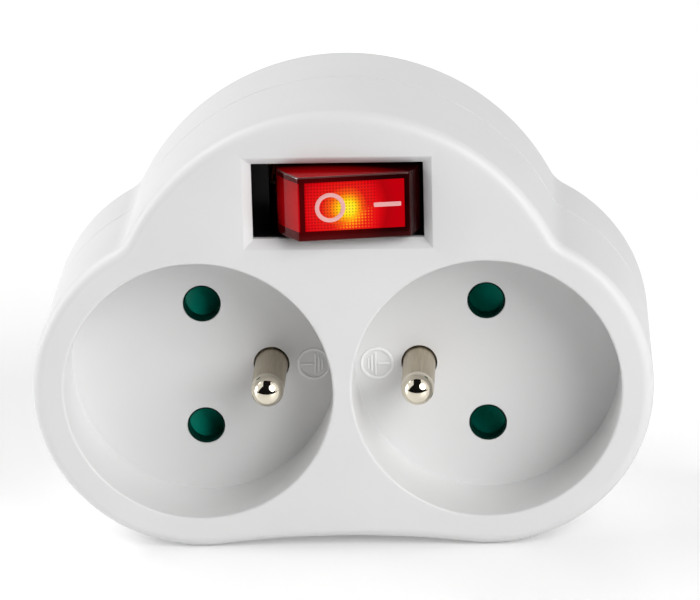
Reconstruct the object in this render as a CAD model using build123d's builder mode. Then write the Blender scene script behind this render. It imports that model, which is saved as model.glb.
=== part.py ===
from build123d import *
from math import atan2, cos, degrees, radians, sin, sqrt
import os

# Two-outlet plug-in adapter with a lit rocker switch. Millimetres, +Z up, face towards -Y.
# Depths are counted from the face towards the plug, heights from the ground under the two lobes.

# Housing outline
LOBE_RADIUS = 24.2
WELL_X = 20.9
DISC_RADIUS = 34.4
DISC_RISE = 7.5
BLEND_RADIUS = 5.0
ARCH_RISE = 1.3
SEAM_DEPTH = 19.5
BODY_DEPTH = 34.5
FRONT_ROUND = 1.7
REAR_ROUND = 2.0
SEAM_BREAK = 0.2
WALL = 1.8
FACE_WALL = 2.2
REAR_WALL = 2.0
LIP_REACH = 1.5
LIP_WALL = 0.9

# Outlet wells and their pin pattern
WELL_RADIUS = 19.5
WELL_DEPTH = 12.4
WELL_WALL = 1.5
WELL_RIM = 0.35
WELL_FOOT = 0.3
FLOOR = 2.4
PIN_PITCH = 19.0
PIN_RADIUS = 2.4
PIN_HOLE_RADIUS = 2.55
PIN_HOLE_BREAK = 0.1
LINER_WALL = 0.2
LINER_FLANGE = 0.4
LINER_FLANGE_THICK = 0.6
EARTH_OFFSET = 10.0
EARTH_REACH = 14.0
EARTH_ROOT_SWELL = 0.2
EARTH_COLLAR_RADIUS = 3.4
EARTH_COLLAR = 1.25
EARTH_TAIL_RADIUS = 1.6
EARTH_TAIL = 1.6

# Shutters behind the well floors
SHUTTER_TRAVEL = 6.2
SHUTTER_THICK = 4.0
SHUTTER_INNER = 3.2
SHUTTER_OUTER = 4.6
SHUTTER_HALF = 12.8
SHUTTER_PAD = 5.8
RAMP_EDGE = 0.5
RAMP_TOP = 2.7
CAGE_WALL = 1.2
CAGE_INNER = 3.4
CAGE_OUTER = 13.6
CAGE_HALF = 13.0
CAGE_COVER = 1.2
COVER_HOLE_RADIUS = 3.0
SPRING_RADIUS = 1.3
SPRING_WIRE = 0.22
SPRING_TURNS = 5.0

# Contact bars
BAR_THICK = 0.8
BAR_WIDTH = 6.4
BAR_HALF = 27.4
BAR_HOLE_RADIUS = 2.9
LEAF_THICK = 0.6
LEAF_END_GAP = 2.35
LEAF_ROOT = 2.55
LEAF_PINCH = 2.45
LEAF_MOUTH = 3.1
POST_WIDTH = 1.8
POST_HEIGHT = 5.0

# Plug
PLUG_RADIUS = 18.4
PLUG_FLAT = 16.6
PLUG_LENGTH = 17.0
PLUG_WALL = 2.0
PLUG_END = 3.0
PLUG_ROUND = 1.2
PIN_LENGTH = 19.0
PIN_TIP_ROUND = 1.9
PIN_ROOT_RADIUS = 2.7
PIN_COLLAR_RADIUS = 3.6
PIN_COLLAR = 1.2
PIN_TOWER_RADIUS = 4.4
TAIL_LENGTH = 5.3
TAIL_WIDTH = 5.0
TAIL_THICK = 1.4
EARTH_HOLE_RADIUS = 2.65
SLEEVE_WALL = 0.65
SLEEVE_TOWER_WALL = 1.3
STRAP_WIDTH = 6.0
STRAP_THICK = 0.8
STRAP_REACH = 14.8
STRAP_BOW = 0.45

# Screws
SCREW_X = 21.0
SCREW_RISE = 26.0
SCREW_DROP = 16.0
SCREW_RADIUS = 1.4
SCREW_LENGTH = 15.0
SCREW_HEAD_RADIUS = 2.75
SCREW_HEAD = 2.0
SCREW_SINK = 6.5
SCREW_TIP_ROOM = 1.0
BOSS_RADIUS = 3.0
SEAT_THICK = 4.0
SEAT_RADIUS = 3.0
SEAT_BOSS_RADIUS = 4.0

# Switch
SWITCH_RISE = 28.4
APERTURE_SLOPE = 1.25
APERTURE_SLOPE_DEPTH = 1.5
ROCKER_SIDE_GAP = 0.6
ROCKER_TOP_GAP = 0.85
FRAME_OPEN_STEP = 0.3
FRAME_OPEN_LIP = 0.2
FLANGE_LIP = 0.8
FLANGE_THICK = 1.5
FRAME_WALL = 0.8
FRAME_FLOOR = 1.5
SHELF_GAP = 0.3
SHELF_THICK = 1.2
SHELF_REACH = 2.6
SWITCH_ROOM = 6.8
HOOK_WALL = 1.2
HOOK_NOSE = 0.8
PIVOT_DEPTH = 16.0
PIVOT_RADIUS = 1.2
ROCKER_TILT = 8.0
ROCKER_RISE = 18.07
ROCKER_FACE_HALF = 8.0
ROCKER_SHOULDER_HALF = 9.7
ROCKER_SHOULDER = 3.0
ROCKER_SKIRT_HALF = 10.5
ROCKER_SKIRT = 5.1
ROCKER_CAP = 8.6
ROCKER_HEIGHT = 9.5
ROCKER_WALL = 1.0
ROCKER_WEB = 1.6
ROCKER_EDGE = 0.35
PLUNGER_TUBE_RADIUS = 2.6
PLUNGER_RADIUS = 1.6
PLUNGER_GAP = 0.3
PLUNGER_SHOW = 4.3
PLUNGER_LENGTH = 5.0
LEVER_HALF = 7.3
LEVER_WIDTH = 5.0
LEVER_THICK = 0.6
LEVER_RISE = 2.1
LEVER_TILT = 7.0
TERMINAL_WIDTH = 5.0
TERMINAL_THICK = 0.8
TERMINAL_END_GAP = 1.5
TERMINAL_X = 7.0
LAMP_TERMINAL_X = 9.4
PAD_MARGIN = 2.0
LAMP_FOOT = 2.4
LAMP_RADIUS = 1.8
LAMP_LENGTH = 10.0
LAMP_DEPTH = 6.0
LEAD_RADIUS = 0.3
LEAD_X = 10.2
LEAD_SINK = 0.5
LEAD_STEP = 1.2
LEAD_BEND = 0.8
LEAD_TURN_RISE = 5.0
RESISTOR_DROP = 2.5
RESISTOR_LENGTH = 4.5
RESISTOR_RADIUS = 0.95

# Wires
WIRE_RADIUS = 1.2
LAMP_WIRE_RADIUS = 0.8
WIRE_BEND = 2.4
LINE_WIRE_OUT = 6.0
LOAD_WIRE_STEP = 0.6
LAMP_WIRE_BACK = 1.5
LAMP_WIRE_FRONT = 0.7
LAMP_WIRE_DROP = 6.3
LAMP_WIRE_END = 4.2
EARTH_CLIMB_DROP = 1.5
EARTH_BAR_END = 1.0

# Clearances
FIT = 0.05
SLIDE = 0.15
SEAT_GAP = 0.1

os.makedirs("parts", exist_ok=True)

rocker_lean = radians(ROCKER_TILT)
rocker_reach = ROCKER_RISE * cos(rocker_lean) + ROCKER_FACE_HALF * sin(rocker_lean) - PIVOT_DEPTH
face_y = (rocker_reach - BODY_DEPTH - PLUG_LENGTH - PIN_LENGTH) / 2
well_z = LOBE_RADIUS
plug_z = well_z + DISC_RISE
switch_z = well_z + SWITCH_RISE
floor_back = WELL_DEPTH + FLOOR
shutter_front = floor_back + SLIDE
shutter_back = shutter_front + SHUTTER_THICK
cage_back = shutter_back + SLIDE
bar_front = cage_back + CAGE_COVER + FIT
bar_back = bar_front + BAR_THICK
rear_inside = BODY_DEPTH - REAR_WALL
plug_face = BODY_DEPTH + PLUG_LENGTH
leaf_reach = rear_inside - bar_back - LEAF_END_GAP
liner_outer = PIN_HOLE_RADIUS + LINER_WALL
sleeve_outer = EARTH_HOLE_RADIUS + SLEEVE_WALL
screw_seat = BODY_DEPTH - SCREW_SINK
boss_meet = screw_seat - SEAT_THICK
screw_spots = [(-SCREW_X, well_z + SCREW_RISE), (SCREW_X, well_z + SCREW_RISE), (0, well_z - SCREW_DROP)]
hole_spots = [(side * WELL_X, well_z + row * PIN_PITCH / 2) for side in (-1, 1) for row in (-1, 1)]
earth_spots = [(side * (WELL_X - EARTH_OFFSET), well_z) for side in (-1, 1)]


# Sideways reach of a rocker corner when that end is pressed in
def swing(half, back):
    return half * cos(rocker_lean) + (ROCKER_RISE - back) * sin(rocker_lean)


cap_back = ROCKER_CAP - ROCKER_RISE
aperture_length = 2 * (swing(ROCKER_SHOULDER_HALF, ROCKER_SHOULDER) + ROCKER_SIDE_GAP)
aperture_height = ROCKER_HEIGHT + 2 * ROCKER_TOP_GAP
frame_open_length = aperture_length + 2 * FRAME_OPEN_STEP
frame_open_height = aperture_height - 2 * FRAME_OPEN_LIP
frame_length = 2 * (swing(ROCKER_SKIRT_HALF, ROCKER_SKIRT) + ROCKER_SIDE_GAP + FRAME_WALL)
frame_height = aperture_height + 2 * FRAME_WALL
flange_length = frame_length + 2 * FLANGE_LIP
flange_height = frame_height + 2 * FLANGE_LIP
shelf_depth = PIVOT_DEPTH + cap_back * cos(rocker_lean) + ROCKER_SKIRT_HALF * sin(rocker_lean) + SHELF_GAP
frame_back = rear_inside - SWITCH_ROOM
frame_floor = frame_back - FRAME_FLOOR
lever_depth = frame_floor - LEVER_RISE
terminal_end = rear_inside - TERMINAL_END_GAP
plunger_tip = lever_depth - LEVER_THICK / 2 - PLUNGER_GAP - PIVOT_DEPTH
tube_end = plunger_tip - PLUNGER_SHOW


def behind(depth):
    return Plane.XZ.offset(-(face_y + depth))


def at(x, depth, z):
    return (x, face_y + depth, z)


# Housing outline: the round top, two lobes around the wells, blends between them, a flat arch below.
# The inset gives the same outline moved inwards by an even distance.
def outline(inset):
    disc, lobe = Vector(0, plug_z), Vector(WELL_X, well_z)
    near, far = LOBE_RADIUS + BLEND_RADIUS, DISC_RADIUS + BLEND_RADIUS
    apart = (lobe - disc).length
    along = (far**2 - near**2 + apart**2) / (2 * apart)
    aside = sqrt(far**2 - along**2)
    step = (lobe - disc) / apart
    blend = disc + step * along + Vector(-step.Y, step.X) * aside
    arch_radius = (WELL_X**2 + ARCH_RISE**2) / (2 * ARCH_RISE) - LOBE_RADIUS
    arch = Vector(0, ARCH_RISE - arch_radius)
    to_disc = degrees(atan2(blend.Y - disc.Y, blend.X - disc.X))
    to_lobe = degrees(atan2(blend.Y - lobe.Y, blend.X - lobe.X))
    to_arch = degrees(atan2(arch.Y - lobe.Y, arch.X - lobe.X))
    lobe_sweep = to_lobe - to_arch
    blend_sweep = to_lobe - to_disc
    with BuildSketch() as shape:
        with BuildLine():
            CenterArc(lobe, LOBE_RADIUS - inset, to_arch, lobe_sweep)
            CenterArc(blend, BLEND_RADIUS + inset, 180 + to_lobe, -blend_sweep)
            CenterArc(disc, DISC_RADIUS - inset, to_disc, 180 - 2 * to_disc)
            CenterArc((-blend.X, blend.Y), BLEND_RADIUS + inset, -to_disc, -blend_sweep)
            CenterArc((-WELL_X, well_z), LOBE_RADIUS - inset, 180 - to_lobe, lobe_sweep)
            CenterArc(arch, arch_radius + inset, -to_arch, 2 * (to_arch + 90))
        make_face()
    return shape.sketch


# Front cover: face, both wells, the sloped switch opening, screw bosses and shutter cages.
with BuildPart() as front_cover:
    with BuildSketch(behind(SEAM_DEPTH)):
        add(outline(0))
    extrude(amount=SEAM_DEPTH)
    fillet(front_cover.edges().group_by(Axis.Y)[0], FRONT_ROUND)
    chamfer(front_cover.edges().group_by(Axis.Y)[-1], SEAM_BREAK)
    with BuildSketch(behind(SEAM_DEPTH)):
        add(outline(WALL))
    extrude(amount=SEAM_DEPTH - FACE_WALL, mode=Mode.SUBTRACT)
    with BuildSketch(behind(floor_back)):
        with Locations((-WELL_X, well_z), (WELL_X, well_z)):
            Circle(WELL_RADIUS + WELL_WALL)
    extrude(amount=floor_back - FACE_WALL / 2)
    with BuildSketch(behind(cage_back)):
        for side in (-1, 1):
            with Locations((side * (WELL_X + (CAGE_OUTER - CAGE_INNER) / 2), well_z)):
                Rectangle(CAGE_OUTER + CAGE_INNER + 2 * CAGE_WALL, 2 * (CAGE_HALF + CAGE_WALL))
                Rectangle(CAGE_OUTER + CAGE_INNER, 2 * CAGE_HALF, mode=Mode.SUBTRACT)
    extrude(amount=cage_back - floor_back)
    with BuildSketch(behind(boss_meet)):
        with Locations(*screw_spots):
            Circle(BOSS_RADIUS)
    extrude(amount=boss_meet - FACE_WALL)
    with BuildSketch(behind(FACE_WALL + FLANGE_THICK + HOOK_WALL)):
        for side in (-1, 1):
            with Locations((side * (flange_length / 2 + SEAT_GAP + HOOK_WALL / 2), switch_z)):
                Rectangle(HOOK_WALL, frame_height / 2)
    extrude(amount=FLANGE_THICK + HOOK_WALL)
    with BuildSketch(behind(FACE_WALL + FLANGE_THICK + HOOK_WALL)):
        for side in (-1, 1):
            with Locations((side * (flange_length / 2 + SEAT_GAP + (HOOK_WALL - HOOK_NOSE) / 2), switch_z)):
                Rectangle(HOOK_WALL + HOOK_NOSE, frame_height / 2)
    extrude(amount=HOOK_WALL - SEAT_GAP)
    with BuildSketch(behind(WELL_DEPTH)):
        with Locations((-WELL_X, well_z), (WELL_X, well_z)):
            Circle(WELL_RADIUS)
    extrude(amount=WELL_DEPTH, mode=Mode.SUBTRACT)
    rims = front_cover.edges().filter_by(GeomType.CIRCLE).group_by(Axis.Y)[0]
    fillet(rims.filter_by(lambda rim: abs(rim.radius - WELL_RADIUS) < FIT), WELL_RIM)
    feet = front_cover.edges().filter_by(GeomType.CIRCLE)
    feet = feet.filter_by(lambda foot: abs(foot.radius - WELL_RADIUS) < FIT).group_by(Axis.Y)[-1]
    fillet(feet, WELL_FOOT)
    with BuildSketch(behind(floor_back)):
        with Locations(*hole_spots):
            Circle(liner_outer + FIT)
        with Locations(*earth_spots):
            Circle(PIN_RADIUS + EARTH_ROOT_SWELL + SEAT_GAP)
    extrude(amount=FLOOR, mode=Mode.SUBTRACT)
    with BuildSketch(behind(floor_back)):
        with Locations(*hole_spots):
            Circle(liner_outer + LINER_FLANGE + FIT)
    extrude(amount=LINER_FLANGE_THICK + FIT, mode=Mode.SUBTRACT)
    with BuildSketch(behind(FACE_WALL)):
        with Locations((0, switch_z)):
            Rectangle(aperture_length, aperture_height)
    extrude(amount=FACE_WALL, mode=Mode.SUBTRACT)
    with BuildSketch(behind(0)):
        with Locations((0, switch_z)):
            Rectangle(aperture_length + 2 * APERTURE_SLOPE, aperture_height + 2 * APERTURE_SLOPE)
    with BuildSketch(behind(APERTURE_SLOPE_DEPTH)):
        with Locations((0, switch_z)):
            Rectangle(aperture_length, aperture_height)
    loft(mode=Mode.SUBTRACT)
    with BuildSketch(behind(boss_meet)):
        with Locations(*screw_spots):
            Circle(SCREW_RADIUS + FIT)
    extrude(amount=boss_meet - screw_seat + SCREW_LENGTH + SCREW_TIP_ROOM, mode=Mode.SUBTRACT)
front_cover.part.label = "front_cover"

# Rear cover: shell, tongue inside the seam, plug body with its towers, screw seats and bar posts.
with BuildPart() as rear_cover:
    with BuildSketch(behind(BODY_DEPTH)):
        add(outline(0))
    extrude(amount=BODY_DEPTH - SEAM_DEPTH)
    fillet(rear_cover.edges().group_by(Axis.Y)[-1], REAR_ROUND)
    chamfer(rear_cover.edges().group_by(Axis.Y)[0], SEAM_BREAK)
    with BuildSketch(behind(rear_inside)):
        add(outline(WALL))
    extrude(amount=rear_inside - SEAM_DEPTH, mode=Mode.SUBTRACT)
    with BuildSketch(behind(SEAM_DEPTH + LIP_REACH)):
        add(outline(WALL - FIT))
        add(outline(WALL + LIP_WALL), mode=Mode.SUBTRACT)
    extrude(amount=LIP_REACH)
    with BuildSketch(behind(SEAM_DEPTH)):
        add(outline(WALL + SEAT_GAP))
        add(outline(WALL + LIP_WALL), mode=Mode.SUBTRACT)
    extrude(amount=LIP_REACH)
    with BuildSketch(behind(plug_face)) as plug_profile:
        with Locations((0, plug_z)):
            Circle(PLUG_RADIUS)
            Rectangle(2 * PLUG_RADIUS, 2 * PLUG_FLAT, mode=Mode.INTERSECT)
    extrude(amount=PLUG_LENGTH)
    fillet(rear_cover.edges().group_by(Axis.Y)[-1], PLUG_ROUND)
    with BuildSketch(behind(plug_face - PLUG_END)):
        with Locations((0, plug_z)):
            Circle(PLUG_RADIUS - PLUG_WALL)
            Rectangle(2 * PLUG_RADIUS, 2 * (PLUG_FLAT - PLUG_WALL), mode=Mode.INTERSECT)
    extrude(amount=plug_face - PLUG_END - rear_inside, mode=Mode.SUBTRACT)
    with BuildSketch(behind(plug_face - PLUG_END)):
        with Locations((-PIN_PITCH / 2, plug_z), (PIN_PITCH / 2, plug_z)):
            Circle(PIN_TOWER_RADIUS)
        with Locations((0, plug_z + EARTH_OFFSET)):
            Circle(sleeve_outer + SLEEVE_TOWER_WALL)
    extrude(amount=plug_face - PLUG_END - BODY_DEPTH)
    with BuildSketch(behind(rear_inside)):
        with Locations(*screw_spots):
            Circle(SEAT_BOSS_RADIUS)
    extrude(amount=rear_inside - boss_meet)
    with BuildSketch(behind(rear_inside)):
        for row in (-1, 1):
            for side in (-1, 1):
                with Locations((side * (BAR_HALF - POST_WIDTH / 2), well_z + row * PIN_PITCH / 2)):
                    Rectangle(POST_WIDTH, POST_HEIGHT)
    extrude(amount=rear_inside - bar_back - FIT)
    with BuildSketch(behind(plug_face)):
        with Locations((-PIN_PITCH / 2, plug_z), (PIN_PITCH / 2, plug_z)):
            Circle(PIN_ROOT_RADIUS + FIT)
        with Locations((0, plug_z + EARTH_OFFSET)):
            Circle(EARTH_HOLE_RADIUS)
    extrude(amount=PLUG_LENGTH, mode=Mode.SUBTRACT)
    with BuildSketch(behind(plug_face - PLUG_END)):
        with Locations((0, plug_z + EARTH_OFFSET)):
            Circle(sleeve_outer + FIT)
    extrude(amount=PLUG_LENGTH - PLUG_END, mode=Mode.SUBTRACT)
    with BuildSketch(behind(BODY_DEPTH)):
        for side in (-1, 1):
            with Locations((0, plug_z + side * (PLUG_FLAT + STRAP_THICK / 2 + FIT))):
                Rectangle(STRAP_WIDTH + 2 * SEAT_GAP, STRAP_THICK + 2 * FIT)
    extrude(amount=REAR_WALL, mode=Mode.SUBTRACT)
    with BuildSketch(behind(BODY_DEPTH)):
        with Locations(*screw_spots):
            Circle(SEAT_RADIUS)
    extrude(amount=BODY_DEPTH - screw_seat, mode=Mode.SUBTRACT)
    with BuildSketch(behind(screw_seat)):
        with Locations(*screw_spots):
            Circle(SCREW_RADIUS + SLIDE)
    extrude(amount=screw_seat - boss_meet, mode=Mode.SUBTRACT)
rear_cover.part.label = "rear_cover"

# Cover screws, three alike
with BuildPart() as cover_screws:
    with BuildSketch(behind(screw_seat)):
        with Locations(*screw_spots):
            Circle(SCREW_RADIUS)
    extrude(amount=SCREW_LENGTH)
    with BuildSketch(behind(screw_seat + SCREW_HEAD)):
        with Locations(*screw_spots):
            Circle(SCREW_HEAD_RADIUS)
    extrude(amount=SCREW_HEAD)
    fillet(cover_screws.edges().group_by(Axis.Y)[-1], SCREW_HEAD / 3)
    chamfer(cover_screws.edges().group_by(Axis.Y)[0], SCREW_RADIUS / 2)
cover_screws.part.label = "cover_screws"


# Plug pin: solid round pin, collar behind the tower, flat tail for its wire
def plug_pin(side, name):
    spot = (side * PIN_PITCH / 2, plug_z)
    with BuildPart() as pin:
        with BuildSketch(behind(plug_face + PIN_LENGTH)):
            with Locations(spot):
                Circle(PIN_RADIUS)
        extrude(amount=PIN_LENGTH)
        fillet(pin.edges().group_by(Axis.Y)[-1], PIN_TIP_ROUND)
        with BuildSketch(behind(plug_face)):
            with Locations(spot):
                Circle(PIN_ROOT_RADIUS)
        extrude(amount=PLUG_LENGTH)
        with BuildSketch(behind(BODY_DEPTH)):
            with Locations(spot):
                Circle(PIN_COLLAR_RADIUS)
        extrude(amount=PIN_COLLAR)
        with BuildSketch(behind(BODY_DEPTH - PIN_COLLAR)):
            with Locations(spot):
                Rectangle(TAIL_THICK, TAIL_WIDTH)
        extrude(amount=TAIL_LENGTH)
    pin.part.label = name
    return pin


live_pin = plug_pin(1, "live_pin")
neutral_pin = plug_pin(-1, "neutral_pin")

# Earth clip: strap across the plug root with a sprung, bowed leg along each flat
with BuildPart() as earth_clip:
    with BuildSketch(behind(rear_inside)):
        with Locations((0, plug_z)):
            Rectangle(STRAP_WIDTH, 2 * (PLUG_FLAT + STRAP_THICK + FIT))
    extrude(amount=STRAP_THICK)
    for side in (-1, 1):
        root = side * (PLUG_FLAT + FIT)
        with BuildSketch(Plane.YZ):
            with BuildLine():
                inner = [
                    (face_y + rear_inside - STRAP_THICK, plug_z + root),
                    (face_y + BODY_DEPTH + 0.2 * STRAP_REACH, plug_z + root),
                    (face_y + BODY_DEPTH + 0.65 * STRAP_REACH, plug_z + root + side * STRAP_BOW),
                    (face_y + BODY_DEPTH + STRAP_REACH, plug_z + root),
                ]
                outer = [(y, z + side * STRAP_THICK) for y, z in reversed(inner)]
                Polyline(*inner, *outer, close=True)
            make_face()
        extrude(amount=STRAP_WIDTH / 2, both=True)
    tips = earth_clip.edges().filter_by(Axis.Z).group_by(Axis.Y)[-1]
    fillet(tips, STRAP_WIDTH / 3)
earth_clip.part.label = "earth_clip"

# Earth sleeve: split tube that takes the wall socket's earth pin
with BuildPart() as earth_sleeve:
    with BuildSketch(behind(plug_face - PLUG_END - FIT)):
        with Locations((0, plug_z + EARTH_OFFSET)):
            Circle(sleeve_outer)
            Circle(EARTH_HOLE_RADIUS, mode=Mode.SUBTRACT)
            with Locations((0, -sleeve_outer)):
                Rectangle(LEAF_THICK, 4 * SLEEVE_WALL, mode=Mode.SUBTRACT)
    extrude(amount=plug_face - PLUG_END - 2 * FIT - rear_inside)
earth_sleeve.part.label = "earth_sleeve"


# Outlet earth pin: round-ended shaft, thicker root in the floor, collar under it, riveted tail
def earth_pin(spot, name):
    shaft_start = face_y + WELL_DEPTH - EARTH_REACH
    collar_end = face_y + floor_back + EARTH_COLLAR
    with BuildPart() as pin:
        with BuildSketch(Plane((spot[0], 0, spot[1]))):
            with BuildLine():
                Line((0, collar_end + EARTH_TAIL), (0, shaft_start))
                RadiusArc((0, shaft_start), (PIN_RADIUS, shaft_start + PIN_RADIUS), -PIN_RADIUS)
                Polyline(
                    (PIN_RADIUS, shaft_start + PIN_RADIUS),
                    (PIN_RADIUS, face_y + WELL_DEPTH),
                    (PIN_RADIUS + EARTH_ROOT_SWELL, face_y + WELL_DEPTH + EARTH_ROOT_SWELL),
                    (PIN_RADIUS + EARTH_ROOT_SWELL, face_y + floor_back),
                    (EARTH_COLLAR_RADIUS, face_y + floor_back),
                    (EARTH_COLLAR_RADIUS, collar_end),
                    (EARTH_TAIL_RADIUS, collar_end),
                    (EARTH_TAIL_RADIUS, collar_end + EARTH_TAIL),
                    (0, collar_end + EARTH_TAIL),
                )
            make_face()
        revolve(axis=Axis((spot[0], 0, spot[1]), (0, 1, 0)))
    pin.part.label = name
    return pin


left_earth_pin = earth_pin(earth_spots[0], "left_earth_pin")
right_earth_pin = earth_pin(earth_spots[1], "right_earth_pin")

# Earth bar: joins both earth pins, climbs the middle and runs back to the earth clip
earth_bar_front = floor_back + EARTH_COLLAR
with BuildPart() as earth_bar:
    with BuildSketch(behind(earth_bar_front + BAR_THICK)):
        with Locations((0, well_z)):
            Rectangle(2 * (WELL_X - EARTH_OFFSET + EARTH_TAIL_RADIUS + EARTH_BAR_END), STRAP_WIDTH)
        with Locations(*earth_spots):
            Circle(EARTH_TAIL_RADIUS + FIT, mode=Mode.SUBTRACT)
    extrude(amount=BAR_THICK)
    climb = plug_z + EARTH_OFFSET - EARTH_CLIMB_DROP
    weld = rear_inside - STRAP_THICK - FIT
    with BuildSketch(Plane.YZ):
        with BuildLine():
            Polyline(
                (face_y + earth_bar_front, well_z),
                (face_y + earth_bar_front, climb + BAR_THICK),
                (face_y + weld - BAR_THICK, climb + BAR_THICK),
                (face_y + weld - BAR_THICK, climb + STRAP_WIDTH),
                (face_y + weld, climb + STRAP_WIDTH),
                (face_y + weld, climb),
                (face_y + earth_bar_front + BAR_THICK, climb),
                (face_y + earth_bar_front + BAR_THICK, well_z),
                close=True,
            )
        make_face()
    extrude(amount=STRAP_WIDTH / 2, both=True)
earth_bar.part.label = "earth_bar"


# Contact bar: strip behind the shutter covers with a pair of sprung leaves at each outlet
def contact_bar(row, name):
    bar_z = well_z + row * PIN_PITCH / 2
    with BuildPart() as bar:
        with BuildSketch(behind(bar_back)):
            with Locations((0, bar_z)):
                Rectangle(2 * BAR_HALF, BAR_WIDTH)
            with Locations((-WELL_X, bar_z), (WELL_X, bar_z)):
                Circle(BAR_HOLE_RADIUS, mode=Mode.SUBTRACT)
        extrude(amount=BAR_THICK)
        for side in (-1, 1):
            with BuildSketch(Plane.YZ.offset(side * WELL_X)):
                for edge in (-1, 1):
                    with BuildLine():
                        inner = [
                            (face_y + bar_back - BAR_THICK / 2, bar_z + edge * LEAF_ROOT),
                            (face_y + bar_back + 0.65 * leaf_reach, bar_z + edge * LEAF_PINCH),
                            (face_y + bar_back + leaf_reach, bar_z + edge * LEAF_MOUTH),
                        ]
                        outer = [(y, z + edge * LEAF_THICK) for y, z in reversed(inner)]
                        Polyline(*inner, *outer, close=True)
                    make_face()
            extrude(amount=BAR_WIDTH / 2, both=True)
    bar.part.label = name
    return bar


live_bar = contact_bar(1, "live_bar")
neutral_bar = contact_bar(-1, "neutral_bar")


# Hole liners: two flanged rings of an outlet, pushed in from behind and level with the well floor
def hole_liners(spots, name):
    with BuildPart() as liners:
        with BuildSketch(behind(floor_back)):
            with Locations(*spots):
                Circle(liner_outer)
        extrude(amount=FLOOR)
        with BuildSketch(behind(floor_back)):
            with Locations(*spots):
                Circle(liner_outer + LINER_FLANGE)
        extrude(amount=LINER_FLANGE_THICK)
        with BuildSketch(behind(floor_back)):
            with Locations(*spots):
                Circle(PIN_HOLE_RADIUS)
        extrude(amount=FLOOR, mode=Mode.SUBTRACT)
        mouths = liners.edges().filter_by(GeomType.CIRCLE).group_by(Axis.Y)[0]
        chamfer(mouths.filter_by(lambda mouth: abs(mouth.radius - PIN_HOLE_RADIUS) < FIT), PIN_HOLE_BREAK)
    liners.part.label = name
    return liners


left_hole_liners = hole_liners(hole_spots[:2], "left_hole_liners")
right_hole_liners = hole_liners(hole_spots[2:], "right_hole_liners")

# Shutter: slider over both pin holes of an outlet, each pad sloped so that a plug pin pushes it aside
shutter_y = face_y + shutter_front
with BuildPart() as right_shutter:
    with BuildSketch(Plane.XY.offset(well_z)):
        with BuildLine():
            Polyline(
                (WELL_X - SHUTTER_INNER, shutter_y + SHUTTER_THICK),
                (WELL_X - SHUTTER_INNER, shutter_y + SHUTTER_THICK - RAMP_EDGE),
                (WELL_X + RAMP_TOP, shutter_y),
                (WELL_X + SHUTTER_OUTER, shutter_y),
                (WELL_X + SHUTTER_OUTER, shutter_y + SHUTTER_THICK),
                close=True,
            )
        make_face()
    extrude(amount=SHUTTER_HALF, both=True)
    with BuildSketch(behind(shutter_back)):
        with Locations((WELL_X - SHUTTER_INNER, well_z)):
            Rectangle(SHUTTER_INNER, 2 * SHUTTER_PAD, align=(Align.MIN, Align.CENTER))
    extrude(amount=SHUTTER_THICK, mode=Mode.SUBTRACT)
    with BuildSketch(Plane.YZ.offset(WELL_X + SHUTTER_OUTER)):
        with Locations((shutter_y + SHUTTER_THICK / 2, well_z)):
            Circle(SPRING_RADIUS - 2 * SPRING_WIRE - SEAT_GAP)
    extrude(amount=SHUTTER_TRAVEL / 3)
right_shutter.part.label = "right_shutter"

with BuildPart() as left_shutter:
    mirror(right_shutter.part, about=Plane.YZ)
left_shutter.part.label = "left_shutter"

# Shutter spring: open coil between the slider and the outer cage wall
coil_start = WELL_X + SHUTTER_OUTER + SPRING_WIRE + FIT
coil_length = CAGE_OUTER - SHUTTER_OUTER - 2 * (SPRING_WIRE + FIT)
with BuildPart() as right_shutter_spring:
    with BuildLine() as coil:
        Helix(
            coil_length / SPRING_TURNS,
            coil_length,
            SPRING_RADIUS - SPRING_WIRE,
            center=at(coil_start, shutter_front + SHUTTER_THICK / 2, well_z),
            direction=(1, 0, 0),
        )
    with BuildSketch(Plane(coil.line @ 0, z_dir=coil.line % 0)):
        Circle(SPRING_WIRE)
    sweep(is_frenet=True)
right_shutter_spring.part.label = "right_shutter_spring"

with BuildPart() as left_shutter_spring:
    mirror(right_shutter_spring.part, about=Plane.YZ)
left_shutter_spring.part.label = "left_shutter_spring"

# Shutter cover: plate that closes the cage, with room for both plug pins
with BuildPart() as right_shutter_cover:
    with BuildSketch(behind(cage_back + CAGE_COVER)):
        with Locations((WELL_X + (CAGE_OUTER - CAGE_INNER) / 2, well_z)):
            Rectangle(CAGE_OUTER + CAGE_INNER + 2 * CAGE_WALL, 2 * (CAGE_HALF + CAGE_WALL))
        with Locations((WELL_X, well_z - PIN_PITCH / 2), (WELL_X, well_z + PIN_PITCH / 2)):
            Circle(COVER_HOLE_RADIUS, mode=Mode.SUBTRACT)
    extrude(amount=CAGE_COVER)
right_shutter_cover.part.label = "right_shutter_cover"

with BuildPart() as left_shutter_cover:
    mirror(right_shutter_cover.part, about=Plane.YZ)
left_shutter_cover.part.label = "left_shutter_cover"

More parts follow.
